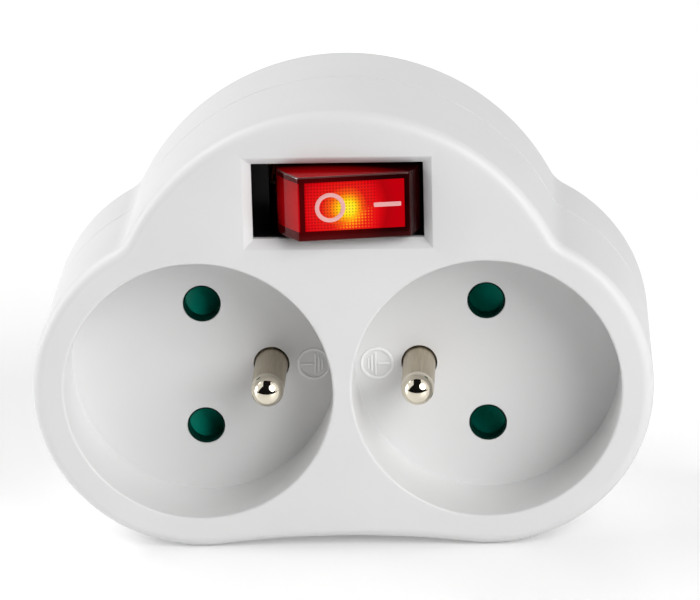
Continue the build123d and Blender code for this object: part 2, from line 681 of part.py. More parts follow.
# Switch frame: flange behind the opening, open box around the rocker, slots for three terminals
with BuildPart() as switch_frame:
    with BuildSketch(behind(FACE_WALL + FLANGE_THICK)):
        with Locations((0, switch_z)):
            Rectangle(flange_length, flange_height)
    extrude(amount=FLANGE_THICK)
    with BuildSketch(behind(frame_back)):
        with Locations((0, switch_z)):
            Rectangle(frame_length, frame_height)
    extrude(amount=frame_back - FACE_WALL)
    with BuildSketch(behind(frame_floor)):
        with Locations((0, switch_z)):
            Rectangle(frame_length - 2 * FRAME_WALL, frame_height - 2 * FRAME_WALL)
    extrude(amount=frame_floor - FACE_WALL - FLANGE_THICK, mode=Mode.SUBTRACT)
    with BuildSketch(behind(shelf_depth + SHELF_THICK)):
        for side in (-1, 1):
            with Locations((side * (frame_length / 2 - FRAME_WALL - SHELF_REACH / 2), switch_z)):
                Rectangle(SHELF_REACH, frame_height - FRAME_WALL)
    extrude(amount=SHELF_THICK)
    with BuildSketch(behind(FACE_WALL + FLANGE_THICK)):
        with Locations((0, switch_z)):
            Rectangle(frame_open_length, frame_open_height)
    extrude(amount=FLANGE_THICK, mode=Mode.SUBTRACT)
    with BuildSketch(behind(frame_back)):
        with Locations((-TERMINAL_X, switch_z), (0, switch_z), (LAMP_TERMINAL_X, switch_z)):
            Rectangle(TERMINAL_THICK + 2 * FIT, TERMINAL_WIDTH + 2 * FIT)
    extrude(amount=frame_back - frame_floor, mode=Mode.SUBTRACT)
    with BuildSketch(Plane.XY.offset(switch_z)):
        with Locations((0, face_y + PIVOT_DEPTH)):
            Circle(PIVOT_RADIUS + SEAT_GAP)
    extrude(amount=frame_height, both=True, mode=Mode.SUBTRACT)
switch_frame.part.label = "switch_frame"

# Rocker: hollow cap drawn square to its own axis and laid over to the on side, cheeks down to the pivots
tilt_x = (cos(rocker_lean), sin(rocker_lean), 0)
rocker_plane = Plane(at(0, PIVOT_DEPTH, switch_z), x_dir=tilt_x, z_dir=(0, 0, 1))


def cap_profile(inset):
    half = [
        (ROCKER_FACE_HALF - inset, -ROCKER_RISE + inset),
        (ROCKER_SHOULDER_HALF - inset, -ROCKER_RISE + ROCKER_SHOULDER),
        (ROCKER_SKIRT_HALF - inset, -ROCKER_RISE + ROCKER_SKIRT),
        (ROCKER_SKIRT_HALF - inset, cap_back),
    ]
    return half + [(-x, y) for x, y in reversed(half)]


with BuildPart() as rocker:
    with BuildSketch(rocker_plane):
        with BuildLine():
            Polyline(*cap_profile(0), close=True)
        make_face()
    extrude(amount=ROCKER_HEIGHT / 2, both=True)
    face_edges = rocker.edges().filter_by(Axis.Z)
    fillet(face_edges.sort_by_distance(rocker_plane * Pos(0, -ROCKER_RISE, 0) * Vertex(0, 0, 0))[:2], ROCKER_EDGE)
    with BuildSketch(rocker_plane):
        with BuildLine():
            Polyline(*cap_profile(ROCKER_WALL), close=True)
        make_face()
    extrude(amount=ROCKER_HEIGHT / 2 - ROCKER_WALL, both=True, mode=Mode.SUBTRACT)
    for side in (-1, 1):
        with BuildSketch(rocker_plane.offset(side * (ROCKER_HEIGHT / 2 - ROCKER_WALL / 2))):
            with BuildLine():
                Polyline(
                    (-ROCKER_SHOULDER_HALF / 2 - 1, cap_back - ROCKER_WALL),
                    (ROCKER_SHOULDER_HALF / 2 + 1, cap_back - ROCKER_WALL),
                    (2 * PIVOT_RADIUS, PIVOT_RADIUS),
                    (-2 * PIVOT_RADIUS, PIVOT_RADIUS),
                    close=True,
                )
            make_face()
            Circle(2 * PIVOT_RADIUS)
        extrude(amount=ROCKER_WALL / 2, both=True)
        with BuildSketch(rocker_plane.offset(side * (ROCKER_HEIGHT / 2 - ROCKER_WALL / 2))):
            Circle(PIVOT_RADIUS)
        extrude(amount=side * (frame_height - ROCKER_HEIGHT + ROCKER_WALL) / 2 - side * SEAT_GAP)
    with BuildSketch(rocker_plane):
        with Locations((0, cap_back + 4 * ROCKER_WALL)):
            Rectangle(2 * PLUNGER_TUBE_RADIUS + 1, ROCKER_WEB)
    extrude(amount=ROCKER_HEIGHT / 2 - ROCKER_WALL / 2, both=True)
    tube_plane = Plane(rocker_plane.origin, x_dir=tilt_x, z_dir=rocker_plane.y_dir)
    with BuildSketch(tube_plane.offset(cap_back + 4 * ROCKER_WALL)):
        Circle(PLUNGER_TUBE_RADIUS)
    extrude(amount=tube_end - cap_back - 4 * ROCKER_WALL)
    with BuildSketch(tube_plane.offset(cap_back + 4 * ROCKER_WALL + ROCKER_WEB / 2)):
        Circle(PLUNGER_RADIUS + SEAT_GAP)
    extrude(amount=plunger_tip - cap_back, mode=Mode.SUBTRACT)
rocker.part.label = "rocker"

# Plunger and its spring inside the rocker's tube
with BuildPart() as switch_plunger:
    with BuildSketch(tube_plane.offset(plunger_tip - PLUNGER_LENGTH)):
        Circle(PLUNGER_RADIUS)
    extrude(amount=PLUNGER_LENGTH)
    tip = switch_plunger.edges().filter_by(GeomType.CIRCLE).group_by(Axis.Y)[-1]
    fillet(tip, PLUNGER_RADIUS * 0.9)
switch_plunger.part.label = "switch_plunger"

plunger_coil_front = cap_back + 4 * ROCKER_WALL + ROCKER_WEB / 2 + SPRING_WIRE + FIT
plunger_coil_length = plunger_tip - PLUNGER_LENGTH - SPRING_WIRE - FIT - plunger_coil_front
coil_origin = rocker_plane.from_local_coords((0, plunger_coil_front, 0))
with BuildPart() as plunger_spring:
    with BuildLine() as plunger_coil:
        Helix(
            plunger_coil_length / 4,
            plunger_coil_length,
            PLUNGER_RADIUS - SPRING_WIRE - SEAT_GAP,
            center=tuple(coil_origin),
            direction=tuple(rocker_plane.y_dir),
        )
    with BuildSketch(Plane(plunger_coil.line @ 0, z_dir=plunger_coil.line % 0)):
        Circle(SPRING_WIRE)
    sweep(is_frenet=True)
plunger_spring.part.label = "plunger_spring"

# Contact lever: see-saw strip over the line terminal, down on the load side while the switch is on
lever_x = (cos(radians(LEVER_TILT)), -sin(radians(LEVER_TILT)), 0)
with BuildPart() as contact_lever:
    with BuildSketch(Plane(at(0, lever_depth, switch_z), x_dir=lever_x, z_dir=(0, 0, 1))):
        Rectangle(2 * LEVER_HALF, LEVER_THICK)
    extrude(amount=LEVER_WIDTH / 2, both=True)
contact_lever.part.label = "contact_lever"

# Terminals: line blade under the lever, load blade with a contact pad, lamp blade out of the lever's reach
with BuildPart() as line_terminal:
    with BuildSketch(behind(terminal_end)):
        with Locations((0, switch_z)):
            Rectangle(TERMINAL_THICK, TERMINAL_WIDTH)
    extrude(amount=terminal_end - lever_depth - LEVER_THICK / 2 - SEAT_GAP)
line_terminal.part.label = "line_terminal"

pad_front = frame_floor - TERMINAL_THICK - FIT
with BuildPart() as load_terminal:
    with BuildSketch(behind(terminal_end)):
        with Locations((-TERMINAL_X, switch_z)):
            Rectangle(TERMINAL_THICK, TERMINAL_WIDTH)
    extrude(amount=terminal_end - pad_front)
    with BuildSketch(behind(pad_front + TERMINAL_THICK)):
        with Locations((-(TERMINAL_X + LEAD_X) / 2, switch_z)):
            Rectangle(LEAD_X - TERMINAL_X + PAD_MARGIN, TERMINAL_WIDTH)
    extrude(amount=TERMINAL_THICK)
load_terminal.part.label = "load_terminal"

with BuildPart() as lamp_terminal:
    with BuildSketch(behind(terminal_end)):
        with Locations((LAMP_TERMINAL_X, switch_z)):
            Rectangle(TERMINAL_THICK, TERMINAL_WIDTH)
    extrude(amount=terminal_end - pad_front)
    with BuildSketch(behind(pad_front + TERMINAL_THICK)):
        with Locations((LEAD_X, switch_z)):
            Rectangle(LAMP_FOOT, TERMINAL_WIDTH)
    extrude(amount=TERMINAL_THICK)
lamp_terminal.part.label = "lamp_terminal"

# Neon lamp: glass tube inside the rocker on its two leads, the right one through a resistor
lead_turn = PIVOT_DEPTH - LEAD_TURN_RISE
resistor_front = lead_turn + RESISTOR_DROP
resistor_back = resistor_front + RESISTOR_LENGTH
with BuildPart() as neon_lamp:
    with BuildSketch(Plane.YZ.offset(-LAMP_LENGTH / 2)):
        with Locations((face_y + LAMP_DEPTH, switch_z)):
            Circle(LAMP_RADIUS)
    extrude(amount=LAMP_LENGTH)
    fillet(neon_lamp.edges().filter_by(GeomType.CIRCLE), LAMP_RADIUS * 0.6)
    for side, stop in ((-1, pad_front - FIT), (1, resistor_front - FIT)):
        with BuildLine() as lead:
            FilletPolyline(
                at(side * (LAMP_LENGTH / 2 - LEAD_SINK), LAMP_DEPTH, switch_z),
                at(side * (LAMP_LENGTH / 2 + LEAD_STEP), LAMP_DEPTH, switch_z),
                at(side * (LAMP_LENGTH / 2 + LEAD_STEP), lead_turn, switch_z),
                at(side * LEAD_X, lead_turn, switch_z),
                at(side * LEAD_X, stop, switch_z),
                radius=LEAD_BEND,
            )
        with BuildSketch(Plane(lead.line @ 0, z_dir=lead.line % 0)):
            Circle(LEAD_RADIUS)
        sweep(path=lead.line)
neon_lamp.part.label = "neon_lamp"

with BuildPart() as lamp_resistor:
    with BuildSketch(behind(resistor_back)):
        with Locations((LEAD_X, switch_z)):
            Circle(RESISTOR_RADIUS)
    extrude(amount=resistor_back - resistor_front)
    fillet(lamp_resistor.edges().filter_by(GeomType.CIRCLE), RESISTOR_RADIUS / 2)
    with BuildSketch(behind(pad_front - FIT)):
        with Locations((LEAD_X, switch_z)):
            Circle(LEAD_RADIUS)
    extrude(amount=pad_front - FIT - resistor_back + RESISTOR_RADIUS / 4)
lamp_resistor.part.label = "lamp_resistor"


# Wires inside the housing, each a straight-and-arc run from terminal to terminal
def wire(name, radius, *spots):
    with BuildPart() as run:
        with BuildLine() as route:
            FilletPolyline(*[at(*spot) for spot in spots], radius=WIRE_BEND)
        with BuildSketch(Plane(route.line @ 0, z_dir=route.line % 0)):
            Circle(radius)
        sweep(path=route.line)
    run.part.label = name
    return run


tail_x = PIN_PITCH / 2
tail_depth = BODY_DEPTH - PIN_COLLAR - TAIL_LENGTH / 2
tail_top = plug_z + TAIL_WIDTH / 2 + FIT
tail_foot = plug_z - TAIL_WIDTH / 2 - FIT
blade_depth = (frame_back + terminal_end) / 2
blade_foot = switch_z - TERMINAL_WIDTH / 2 - FIT
line_wire = wire(
    "line_wire", WIRE_RADIUS,
    (TERMINAL_THICK / 2 + FIT, blade_depth, switch_z),
    (LINE_WIRE_OUT, blade_depth, switch_z),
    (tail_x, tail_depth, plug_z + EARTH_OFFSET),
    (tail_x, tail_depth, tail_top),
)
load_wire = wire(
    "load_wire", WIRE_RADIUS,
    (LOAD_WIRE_STEP - TERMINAL_X, blade_depth, blade_foot),
    (LOAD_WIRE_STEP - TERMINAL_X, blade_depth, well_z + PIN_PITCH / 2),
    (LOAD_WIRE_STEP - TERMINAL_X, bar_back + FIT, well_z + PIN_PITCH / 2),
)
neutral_wire = wire(
    "neutral_wire", WIRE_RADIUS,
    (-tail_x, tail_depth, tail_foot),
    (-tail_x, tail_depth, well_z - PIN_PITCH / 2),
    (-tail_x, bar_back + FIT, well_z - PIN_PITCH / 2),
)
lamp_wire = wire(
    "lamp_wire", LAMP_WIRE_RADIUS,
    (LAMP_TERMINAL_X, frame_back + LAMP_WIRE_BACK, blade_foot),
    (LAMP_TERMINAL_X, frame_back + LAMP_WIRE_BACK, blade_foot - LAMP_WIRE_DROP),
    (-tail_x, frame_back - LAMP_WIRE_FRONT, blade_foot - LAMP_WIRE_DROP),
    (-tail_x, tail_depth, tail_top + LAMP_WIRE_END),
    (-tail_x, tail_depth, tail_top),
)

# One file for each named piece
pieces = [
    front_cover, rear_cover, cover_screws, live_pin, neutral_pin, earth_clip, earth_sleeve,
    left_earth_pin, right_earth_pin, earth_bar, live_bar, neutral_bar, left_hole_liners, right_hole_liners,
    left_shutter, right_shutter,
    left_shutter_spring, right_shutter_spring, left_shutter_cover, right_shutter_cover, switch_frame,
    rocker, switch_plunger, plunger_spring, contact_lever, line_terminal, load_terminal, lamp_terminal,
    neon_lamp, lamp_resistor, line_wire, load_wire, neutral_wire, lamp_wire,
]
for piece in pieces:
    export_step(piece.part, f"parts/{piece.part.label}.step")
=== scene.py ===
from functools import partial
from math import asin, atan2, cos, pi, radians, sin, sqrt
import bmesh
import bpy
import numpy as np
from mathutils import Matrix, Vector
from mathutils.geometry import delaunay_2d_cdt


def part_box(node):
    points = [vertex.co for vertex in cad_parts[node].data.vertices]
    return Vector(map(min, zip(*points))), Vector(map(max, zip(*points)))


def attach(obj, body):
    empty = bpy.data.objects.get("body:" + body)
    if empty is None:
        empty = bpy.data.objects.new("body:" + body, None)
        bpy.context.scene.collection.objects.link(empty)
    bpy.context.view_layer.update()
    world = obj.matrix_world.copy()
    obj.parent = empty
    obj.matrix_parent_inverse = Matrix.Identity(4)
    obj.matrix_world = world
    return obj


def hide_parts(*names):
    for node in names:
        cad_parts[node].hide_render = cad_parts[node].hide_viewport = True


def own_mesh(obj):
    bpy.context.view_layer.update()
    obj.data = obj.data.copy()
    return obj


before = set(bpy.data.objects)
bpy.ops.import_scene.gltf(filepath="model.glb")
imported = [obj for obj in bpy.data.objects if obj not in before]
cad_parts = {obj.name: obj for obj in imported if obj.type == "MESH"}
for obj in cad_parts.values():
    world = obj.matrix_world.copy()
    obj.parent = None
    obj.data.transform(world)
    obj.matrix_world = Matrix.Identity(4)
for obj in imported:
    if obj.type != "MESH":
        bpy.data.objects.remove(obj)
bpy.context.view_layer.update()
mm = 0.001
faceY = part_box("front_cover")[0][1] / mm  # the outlets' face, in mm along Y
print("frame in:", len(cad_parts), "nodes, face at", round(faceY, 3))

# Sizes of the housing in mm: depth is counted from the face towards the plug, heights from the ground.
# A band is a thin strip beside an edge, which keeps the shading of the surface next to it flat.
housing = dict(
    lobeRadius=24.2, wellX=20.9, wellZ=24.2, discRadius=34.4, discZ=31.7, blendRadius=5.0, archRise=1.3,
    seam=19.5, back=34.5, frontRound=1.7, rearRound=2.0, seamBreak=0.05, seamGap=0.12,
    wall=1.8, faceWall=2.2, rearWall=2.0, frontMid=10.0, rearMid=27.0, seamBand=0.4, sideBand=0.15, faceBand=0.08,
    roundSteps=10, lobeSteps=96, blendSteps=24, discSteps=150, archSteps=40,
    skin=0.012,  # the drawn outline stays this much inside the solid one
)
wells = dict(
    radius=19.5, depth=12.4, mid=6.0, rim=0.35, foot=0.04, floorBack=14.8, outside=20.75, pinPitch=19.0,
    linerHole=2.8, linerSeat=3.2, linerSeatDepth=14.15, earthOffset=10.0, earthHole=2.63, holeBreak=0.04,
    rimBand=0.05, wallBand=0.1, footBand=0.06, steps=180, rimSteps=6, footSteps=5,
)
opening = dict(
    z=52.6, length=24.606, height=11.2, corner=0.12, slope=1.25, slopeDepth=1.5,
    lip=0.03, lipDepth=0.012, footIn=0.02, footUp=0.03,
)
plug = dict(
    radius=18.4, flat=16.6, length=17.0, mid=8.0, wall=2.0, end=3.0, round=1.2, pinX=9.5, pinHole=2.75,
    earthHole=2.65, earthBevel=0.25, slotHalf=3.1, slotFrom=16.62, slotTo=17.5, slotCorner=0.1,
    band=0.1, tipBand=0.06, steps=60, roundSteps=8,
)
seats = dict(
    spots=[(-21.0, 50.2), (21.0, 50.2), (0.0, 8.2)], radius=3.0, bevel=0.15, depth=28.0, shank=1.55,
    bossRadius=4.0, bossEnd=24.0,
)
wellSpots = [(side * housing["wellX"], housing["wellZ"]) for side in (-1, 1)]
holeSpots = [[(x, z + row * wells["pinPitch"] / 2) for row in (-1, 1)] for x, z in wellSpots]
earthSpots = [(side * (housing["wellX"] - wells["earthOffset"]), housing["wellZ"]) for side in (-1, 1)]


def housingSeat(x, z, depth):  # face coordinates in mm to the shared frame in metres
    x, z, depth = np.broadcast_arrays(x, z, depth)
    return np.stack([x, faceY + depth, z], axis=-1) * mm


# A loop of arcs: each point is its arc's centre plus the arc's radius, less or plus the inset, turned by even steps.
# With joined=True the arcs meet end to end, otherwise straight runs join them.
def arcLoop(arcs, inset, joined=False):
    parts = []
    for a, b, radius, side, start, sweep, steps in arcs:
        turn = start + sweep * np.arange(steps + (0 if joined else 1)) / steps
        reach = radius - side * inset
        parts.append(np.stack([a + reach * np.cos(turn), b + reach * np.sin(turn)], axis=-1))
    return np.concatenate(parts)


# Arcs that round the corners of an outward-going polygon: the centre stands off both edges by the radius.
def roundedCorners(corners, radius, steps):
    p = np.array(corners, dtype=float)
    into = p - np.roll(p, 1, axis=0)
    away = np.roll(p, -1, axis=0) - p
    into /= np.linalg.norm(into, axis=1, keepdims=True)
    away /= np.linalg.norm(away, axis=1, keepdims=True)
    nIn = np.stack([into[:, 1], -into[:, 0]], axis=-1)
    nOut = np.stack([away[:, 1], -away[:, 0]], axis=-1)
    dot = (nIn * nOut).sum(axis=1)
    cross = nIn[:, 0] * nOut[:, 1] - nIn[:, 1] * nOut[:, 0]
    centre = p - radius * (nIn + nOut) / (1 + dot)[:, None]
    start, sweep = np.arctan2(nIn[:, 1], nIn[:, 0]), np.arctan2(cross, dot)
    return [(c[0], c[1], radius, 1, s, w, steps) for c, s, w in zip(centre, start, sweep)]


def circleLoop(x, z, radius, steps=72):  # even steps once round
    turn = 2 * pi * np.arange(steps) / steps
    return np.stack([x + radius * np.cos(turn), z + radius * np.sin(turn)], axis=-1)


def circles(spots, radius, steps=72):
    return [circleLoop(x, z, radius, steps) for x, z in spots]


def boxLoop(x, z, halfX, halfZ, corner, steps=3):  # rectangle with small round corners
    corners = [(x - halfX, z - halfZ), (x + halfX, z - halfZ), (x + halfX, z + halfZ), (x - halfX, z + halfZ)]
    return arcLoop(roundedCorners(corners, corner, steps), 0)


# Housing outline: two lobes, a disc above them, hollow blends between, a flat arch under the middle.
# Where two arcs touch, the line through their centres gives the angle at which one ends and the next starts.
def housingLoop(inset):
    h = housing
    lobe, disc = np.array([h["wellX"], h["wellZ"]]), np.array([0, h["discZ"]])
    near, far = h["lobeRadius"] + h["blendRadius"], h["discRadius"] + h["blendRadius"]
    apart = np.linalg.norm(lobe - disc)
    along = (far**2 - near**2 + apart**2) / (2 * apart)
    step = (lobe - disc) / apart
    blend = disc + step * along + np.array([-step[1], step[0]]) * sqrt(far**2 - along**2)
    archRadius = (h["wellX"] ** 2 + h["archRise"] ** 2) / (2 * h["archRise"]) - h["lobeRadius"]
    arch = np.array([0, h["archRise"] - archRadius])
    toDisc = atan2(blend[1] - disc[1], blend[0] - disc[0])
    toLobe = atan2(blend[1] - lobe[1], blend[0] - lobe[0])
    toArch = atan2(arch[1] - lobe[1], arch[0] - lobe[0])
    lobeSweep, blendSweep = toLobe - toArch, toLobe - toDisc
    arcs = [
        (lobe[0], lobe[1], h["lobeRadius"], 1, toArch, lobeSweep, h["lobeSteps"]),
        (blend[0], blend[1], h["blendRadius"], -1, pi + toLobe, -blendSweep, h["blendSteps"]),
        (disc[0], disc[1], h["discRadius"], 1, toDisc, pi - 2 * toDisc, h["discSteps"]),
        (-blend[0], blend[1], h["blendRadius"], -1, -toDisc, -blendSweep, h["blendSteps"]),
        (-lobe[0], lobe[1], h["lobeRadius"], 1, pi - toLobe, lobeSweep, h["lobeSteps"]),
        (arch[0], arch[1], archRadius, -1, -toArch, 2 * (toArch + pi / 2), h["archSteps"]),
    ]
    return arcLoop(arcs, inset + h["skin"], joined=True)


# Plug outline: a circle cut by two flats, each moved in by the inset.
def plugLoop(inset):
    reach, flat = plug["radius"] - inset, plug["flat"] - inset
    turn = np.linspace(-1, 1, plug["steps"]) * asin(flat / reach)
    turn = np.concatenate([turn, pi + turn])
    return np.stack([reach * np.cos(turn), housing["discZ"] + reach * np.sin(turn)], axis=-1)


def quarter(radius, steps):  # rounded edge: rows of (inset, setback) from the wall round to the face
    turn = np.linspace(0, pi / 2, steps + 1)
    return np.stack([radius * (1 - np.cos(turn)), radius * (1 - np.sin(turn))], axis=-1)


# A grid of points to vertices and four-sided faces; with wrap the second direction closes on itself.
def gridPatch(points, wrap=True):
    rows, columns = points.shape[:2]
    index = np.arange(rows * columns).reshape(rows, columns)
    if wrap:
        index = np.concatenate([index, index[:, :1]], axis=1)
    faces = np.stack([index[:-1, :-1], index[:-1, 1:], index[1:, 1:], index[1:, :-1]], axis=-1)
    return points.reshape(-1, 3), faces.reshape(-1, 4)


# A grid of rings with both ends drawn in to the middle of the end ring.
def closedTube(grid):
    first, last = (grid[k].mean(axis=0, keepdims=True) + 0 * grid[k] for k in (0, -1))
    return gridPatch(np.stack([first, *grid, last]))


# A profile carried along a loop: each row of (inset, depth) is the loop moved in and set back.
def carried(loop, rows, seat=housingSeat):
    return gridPatch(np.stack([seat(*loop(inset).T, depth) for inset, depth in rows]))


# A turned profile: rows of (radius, depth) spun round an axis through the face.
def turned(x, z, rows, steps=72, seat=housingSeat):
    return gridPatch(np.stack([seat(*circleLoop(x, z, max(radius, 1e-4), steps).T, depth) for radius, depth in rows]))


# A flat sheet between an outer loop and the holes in it, cut into triangles.
def holedFlat(depth, outer, *holes, seat=housingSeat):
    loops = [outer, *holes]
    ends = np.cumsum([0] + [len(loop) for loop in loops])
    faces = [list(range(a, b)) for a, b in zip(ends[:-1], ends[1:])]
    points, _, cut, _, _, owners = delaunay_2d_cdt(np.concatenate(loops).tolist(), [], faces, 1, 1e-7)
    inSheet = np.array([tri for tri, owner in zip(cut, owners) if list(owner) == [0]])
    return seat(*np.array(points).T, depth), inSheet


# A carried profile closed by a flat sheet at its first and last rows.
def slab(loop, rows, seat=housingSeat):
    flats = [holedFlat(depth, loop(inset), seat=seat) for inset, depth in (rows[0], rows[-1])]
    return [carried(loop, rows, seat), *flats]


# A raised ring: its section goes up the inner wall, over a bevelled top and down the outer wall.
def raisedRing(x, z, inner, outer, levels, bevel, steps=72, seat=housingSeat):
    foot, shoulder, top = levels
    rows = [(inner, foot), (inner, shoulder), (inner + bevel, top), (outer - bevel, top), (outer, shoulder)]
    return turned(x, z, rows + [(outer, foot), (inner, foot)], steps, seat)


# A raised bar: a rounded rectangle with upright walls and a bevelled top.
def raisedBar(x, z, halfX, halfZ, corner, levels, bevel, seat=housingSeat):
    foot, shoulder, top = levels

    def loop(inset):
        return boxLoop(x, z, halfX - inset, halfZ - inset, corner)

    return slab(loop, [(0, foot), (0, shoulder), (bevel, top)], seat)


def addObject(name, data):
    thing = bpy.data.objects.new(name, data)
    bpy.context.scene.collection.objects.link(thing)
    return thing


# Patches joined into one piece: doubles merged, faces turned outwards, creases kept sharp.
def makePiece(name, patches, materials, body, crease=32, marks=None):
    starts = np.cumsum([0] + [len(points) for points, _ in patches])
    faces = [(face + start).tolist() for (_, face), start in zip(patches, starts)]
    mesh = bpy.data.meshes.new(name)
    mesh.from_pydata(np.concatenate([points for points, _ in patches]), [], [one for part in faces for one in part])
    if marks is not None:
        mesh.polygons.foreach_set("material_index", np.concatenate(marks).astype(np.int32))
    work = bmesh.new()
    work.from_mesh(mesh)
    bmesh.ops.remove_doubles(work, verts=work.verts, dist=1.5e-6)
    bmesh.ops.dissolve_degenerate(work, edges=work.edges, dist=1e-7)
    bmesh.ops.recalc_face_normals(work, faces=work.faces)
    work.to_mesh(mesh)
    work.free()
    mesh.polygons.foreach_set("use_smooth", np.ones(len(mesh.polygons), dtype=bool))
    mesh.set_sharp_from_angle(angle=radians(crease))
    for material in materials:
        mesh.materials.append(material)
    piece = addObject(name, mesh)
    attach(piece, body)
    return piece


def linear(text):  # sRGB hex to linear colour
    value = np.array([int(text[i:i + 2], 16) for i in (1, 3, 5)]) / 255
    value = np.where(value <= 0.04045, value / 12.92, ((value + 0.055) / 1.055) ** 2.4)
    return (*value.tolist(), 1.0)


# One node with its values and the sockets that feed it; stops are the places and hex colours of a ramp
def addNode(tree, kind, settings=None, links=None):
    node = tree.nodes.new(kind)
    for key, value in (settings or {}).items():
        if key == "stops":
            elements = node.color_ramp.elements
            while len(elements) < len(value):
                elements.new(0.5)
            for element, (place, colour) in zip(elements, value):
                element.position, element.color = place, linear(colour)
        elif isinstance(key, int) or key in node.inputs:
            node.inputs[key].default_value = value
        else:
            setattr(node, key, value)
    for key, source in (links or {}).items():  # a node alone means its first output
        source, output = source if isinstance(source, tuple) else (source, 0)
        tree.links.new(source.outputs[output], node.inputs[key])
    return node


def startNodes(owner):  # empties the nodes of a material or world and returns addNode for them
    owner.use_nodes = True
    owner.node_tree.nodes.clear()
    return partial(addNode, owner.node_tree)


def newMaterial(name, way="Object"):
    material = bpy.data.materials.new(name)
    add = startNodes(material)
    return material, add, (add("ShaderNodeTexCoord"), way)


noiseNode, rampNode, bumpNode = "ShaderNodeTexNoise", "ShaderNodeValToRGB", "ShaderNodeBump"
rangeNode, mathNode, vectorNode = "ShaderNodeMapRange", "ShaderNodeMath", "ShaderNodeVectorMath"
skinNode, outputNode = "ShaderNodeBsdfPrincipled", "ShaderNodeOutputMaterial"
noiseSpan = {"From Min": 0.3, "From Max": 0.7}  # where most of a noise's values lie
softStep = {"interpolation_type": "SMOOTHSTEP"}
times = {"operation": "MULTIPLY"}


# What most finishes share: one pattern moves the tone from dark to pale, one the gloss, one the relief.
def patternSkin(add, tones, rough, relief, settings, toneBy, glossBy, reliefBy):
    tone = add(rampNode, {"stops": [*zip((0.3, 0.7), tones)]}, {"Fac": toneBy})
    gloss = add(rangeNode, {**noiseSpan, "To Min": rough[0], "To Max": rough[1]}, {"Value": glossBy})
    bump = add(bumpNode, {"Strength": relief[0], "Distance": relief[1]}, {"Height": reliefBy})
    skin = add(skinNode, settings, {"Base Color": tone, "Roughness": gloss, "Normal": bump})
    add(outputNode, {}, {"Surface": skin})


# ABS, injection moulded in a spark-eroded tool: white, satin, a very fine even grain and hardly any tone change
def mouldedAbs():
    material, add, at = newMaterial("whiteMouldedAbs")
    grain = add(noiseNode, {"Scale": 1 / 0.0004, "Detail": 3.0, "Roughness": 0.6}, {"Vector": at})  # 0.4 mm grain
    flow = add(noiseNode, {"Scale": 1 / 0.024, "Detail": 2.0}, {"Vector": at})  # 24 mm flow shade
    patternSkin(add, ("#E1E1E1", "#E5E5E5"), (0.42, 0.52), (0.12, 4e-6), {"IOR": 1.53}, flow, grain, grain)
    return material


# Nickel plate over drawn brass: warm grey, lengthwise draw lines on the shaft, the rolled tip polished bright
def drawnNickel(name, tipFrom, tipTo):
    material, add, at = newMaterial(name)
    scale = (1 / 0.00018, 1 / 0.006, 1 / 0.00018)  # 0.18 mm lines, 6 mm long
    stretch = add("ShaderNodeMapping", {"Scale": scale}, {"Vector": at})
    lines = add(noiseNode, {"Scale": 1.0, "Detail": 2.0}, {"Vector": stretch})
    parts = add("ShaderNodeSeparateXYZ", {}, {"Vector": at})
    tip = add(rangeNode, {**softStep, "From Min": tipFrom, "From Max": tipTo}, {"Value": (parts, "Y")})
    tone = add(rampNode, {"stops": [(0.25, "#A89C86"), (0.75, "#CABEA8")]}, {"Fac": lines})
    bright = add("ShaderNodeMix", {"data_type": "RGBA", 7: linear("#DCD4C2")}, {"Factor": tip, 6: tone})
    brush = add(rangeNode, {**noiseSpan, "To Min": 0.3, "To Max": 0.42}, {"Value": lines})
    gloss = add("ShaderNodeMix", {"data_type": "FLOAT", 3: 0.07}, {"Factor": tip, 2: brush})
    bump = add(bumpNode, {"Strength": 0.15, "Distance": 4e-6}, {"Height": lines})
    skin = add(skinNode, {"Metallic": 1.0}, {"Base Color": (bright, 2), "Roughness": gloss, "Normal": bump})
    add(outputNode, {}, {"Surface": skin})
    return material


# Metal strip, wire or screw stock: one tone with fine rolling lines and a patchy gloss
def rolledMetal(name, dark, pale, roughLow, roughHigh, run=0):
    material, add, at = newMaterial(name)
    scale = [1 / 0.0002] * 3  # 0.2 mm lines
    scale[run] = 1 / 0.004  # they run on for about 4 mm along this axis
    stretch = add("ShaderNodeMapping", {"Scale": scale}, {"Vector": at})
    lines = add(noiseNode, {"Scale": 1.0, "Detail": 3.0}, {"Vector": stretch})
    patternSkin(add, (dark, pale), (roughLow, roughHigh), (0.1, 3e-6), {"Metallic": 1.0}, lines, lines, lines)
    return material


# Moulded plastic with a smooth tool finish: glossy, a slow tone change and a faint orange peel
def glossyPlastic(name, dark, pale, roughness, ior, shine=0.5):
    material, add, at = newMaterial(name)
    flow = add(noiseNode, {"Scale": 1 / 0.005, "Detail": 3.0}, {"Vector": at})  # 5 mm flow marks
    fine = add(noiseNode, {"Scale": 1 / 0.0006, "Detail": 2.0}, {"Vector": at})  # 0.6 mm orange peel
    rough, settings = (roughness - 0.04, roughness + 0.04), {"IOR": ior, "Specular IOR Level": shine}
    patternSkin(add, (dark, pale), rough, (0.08, 4e-6), settings, flow, flow, fine)
    return material


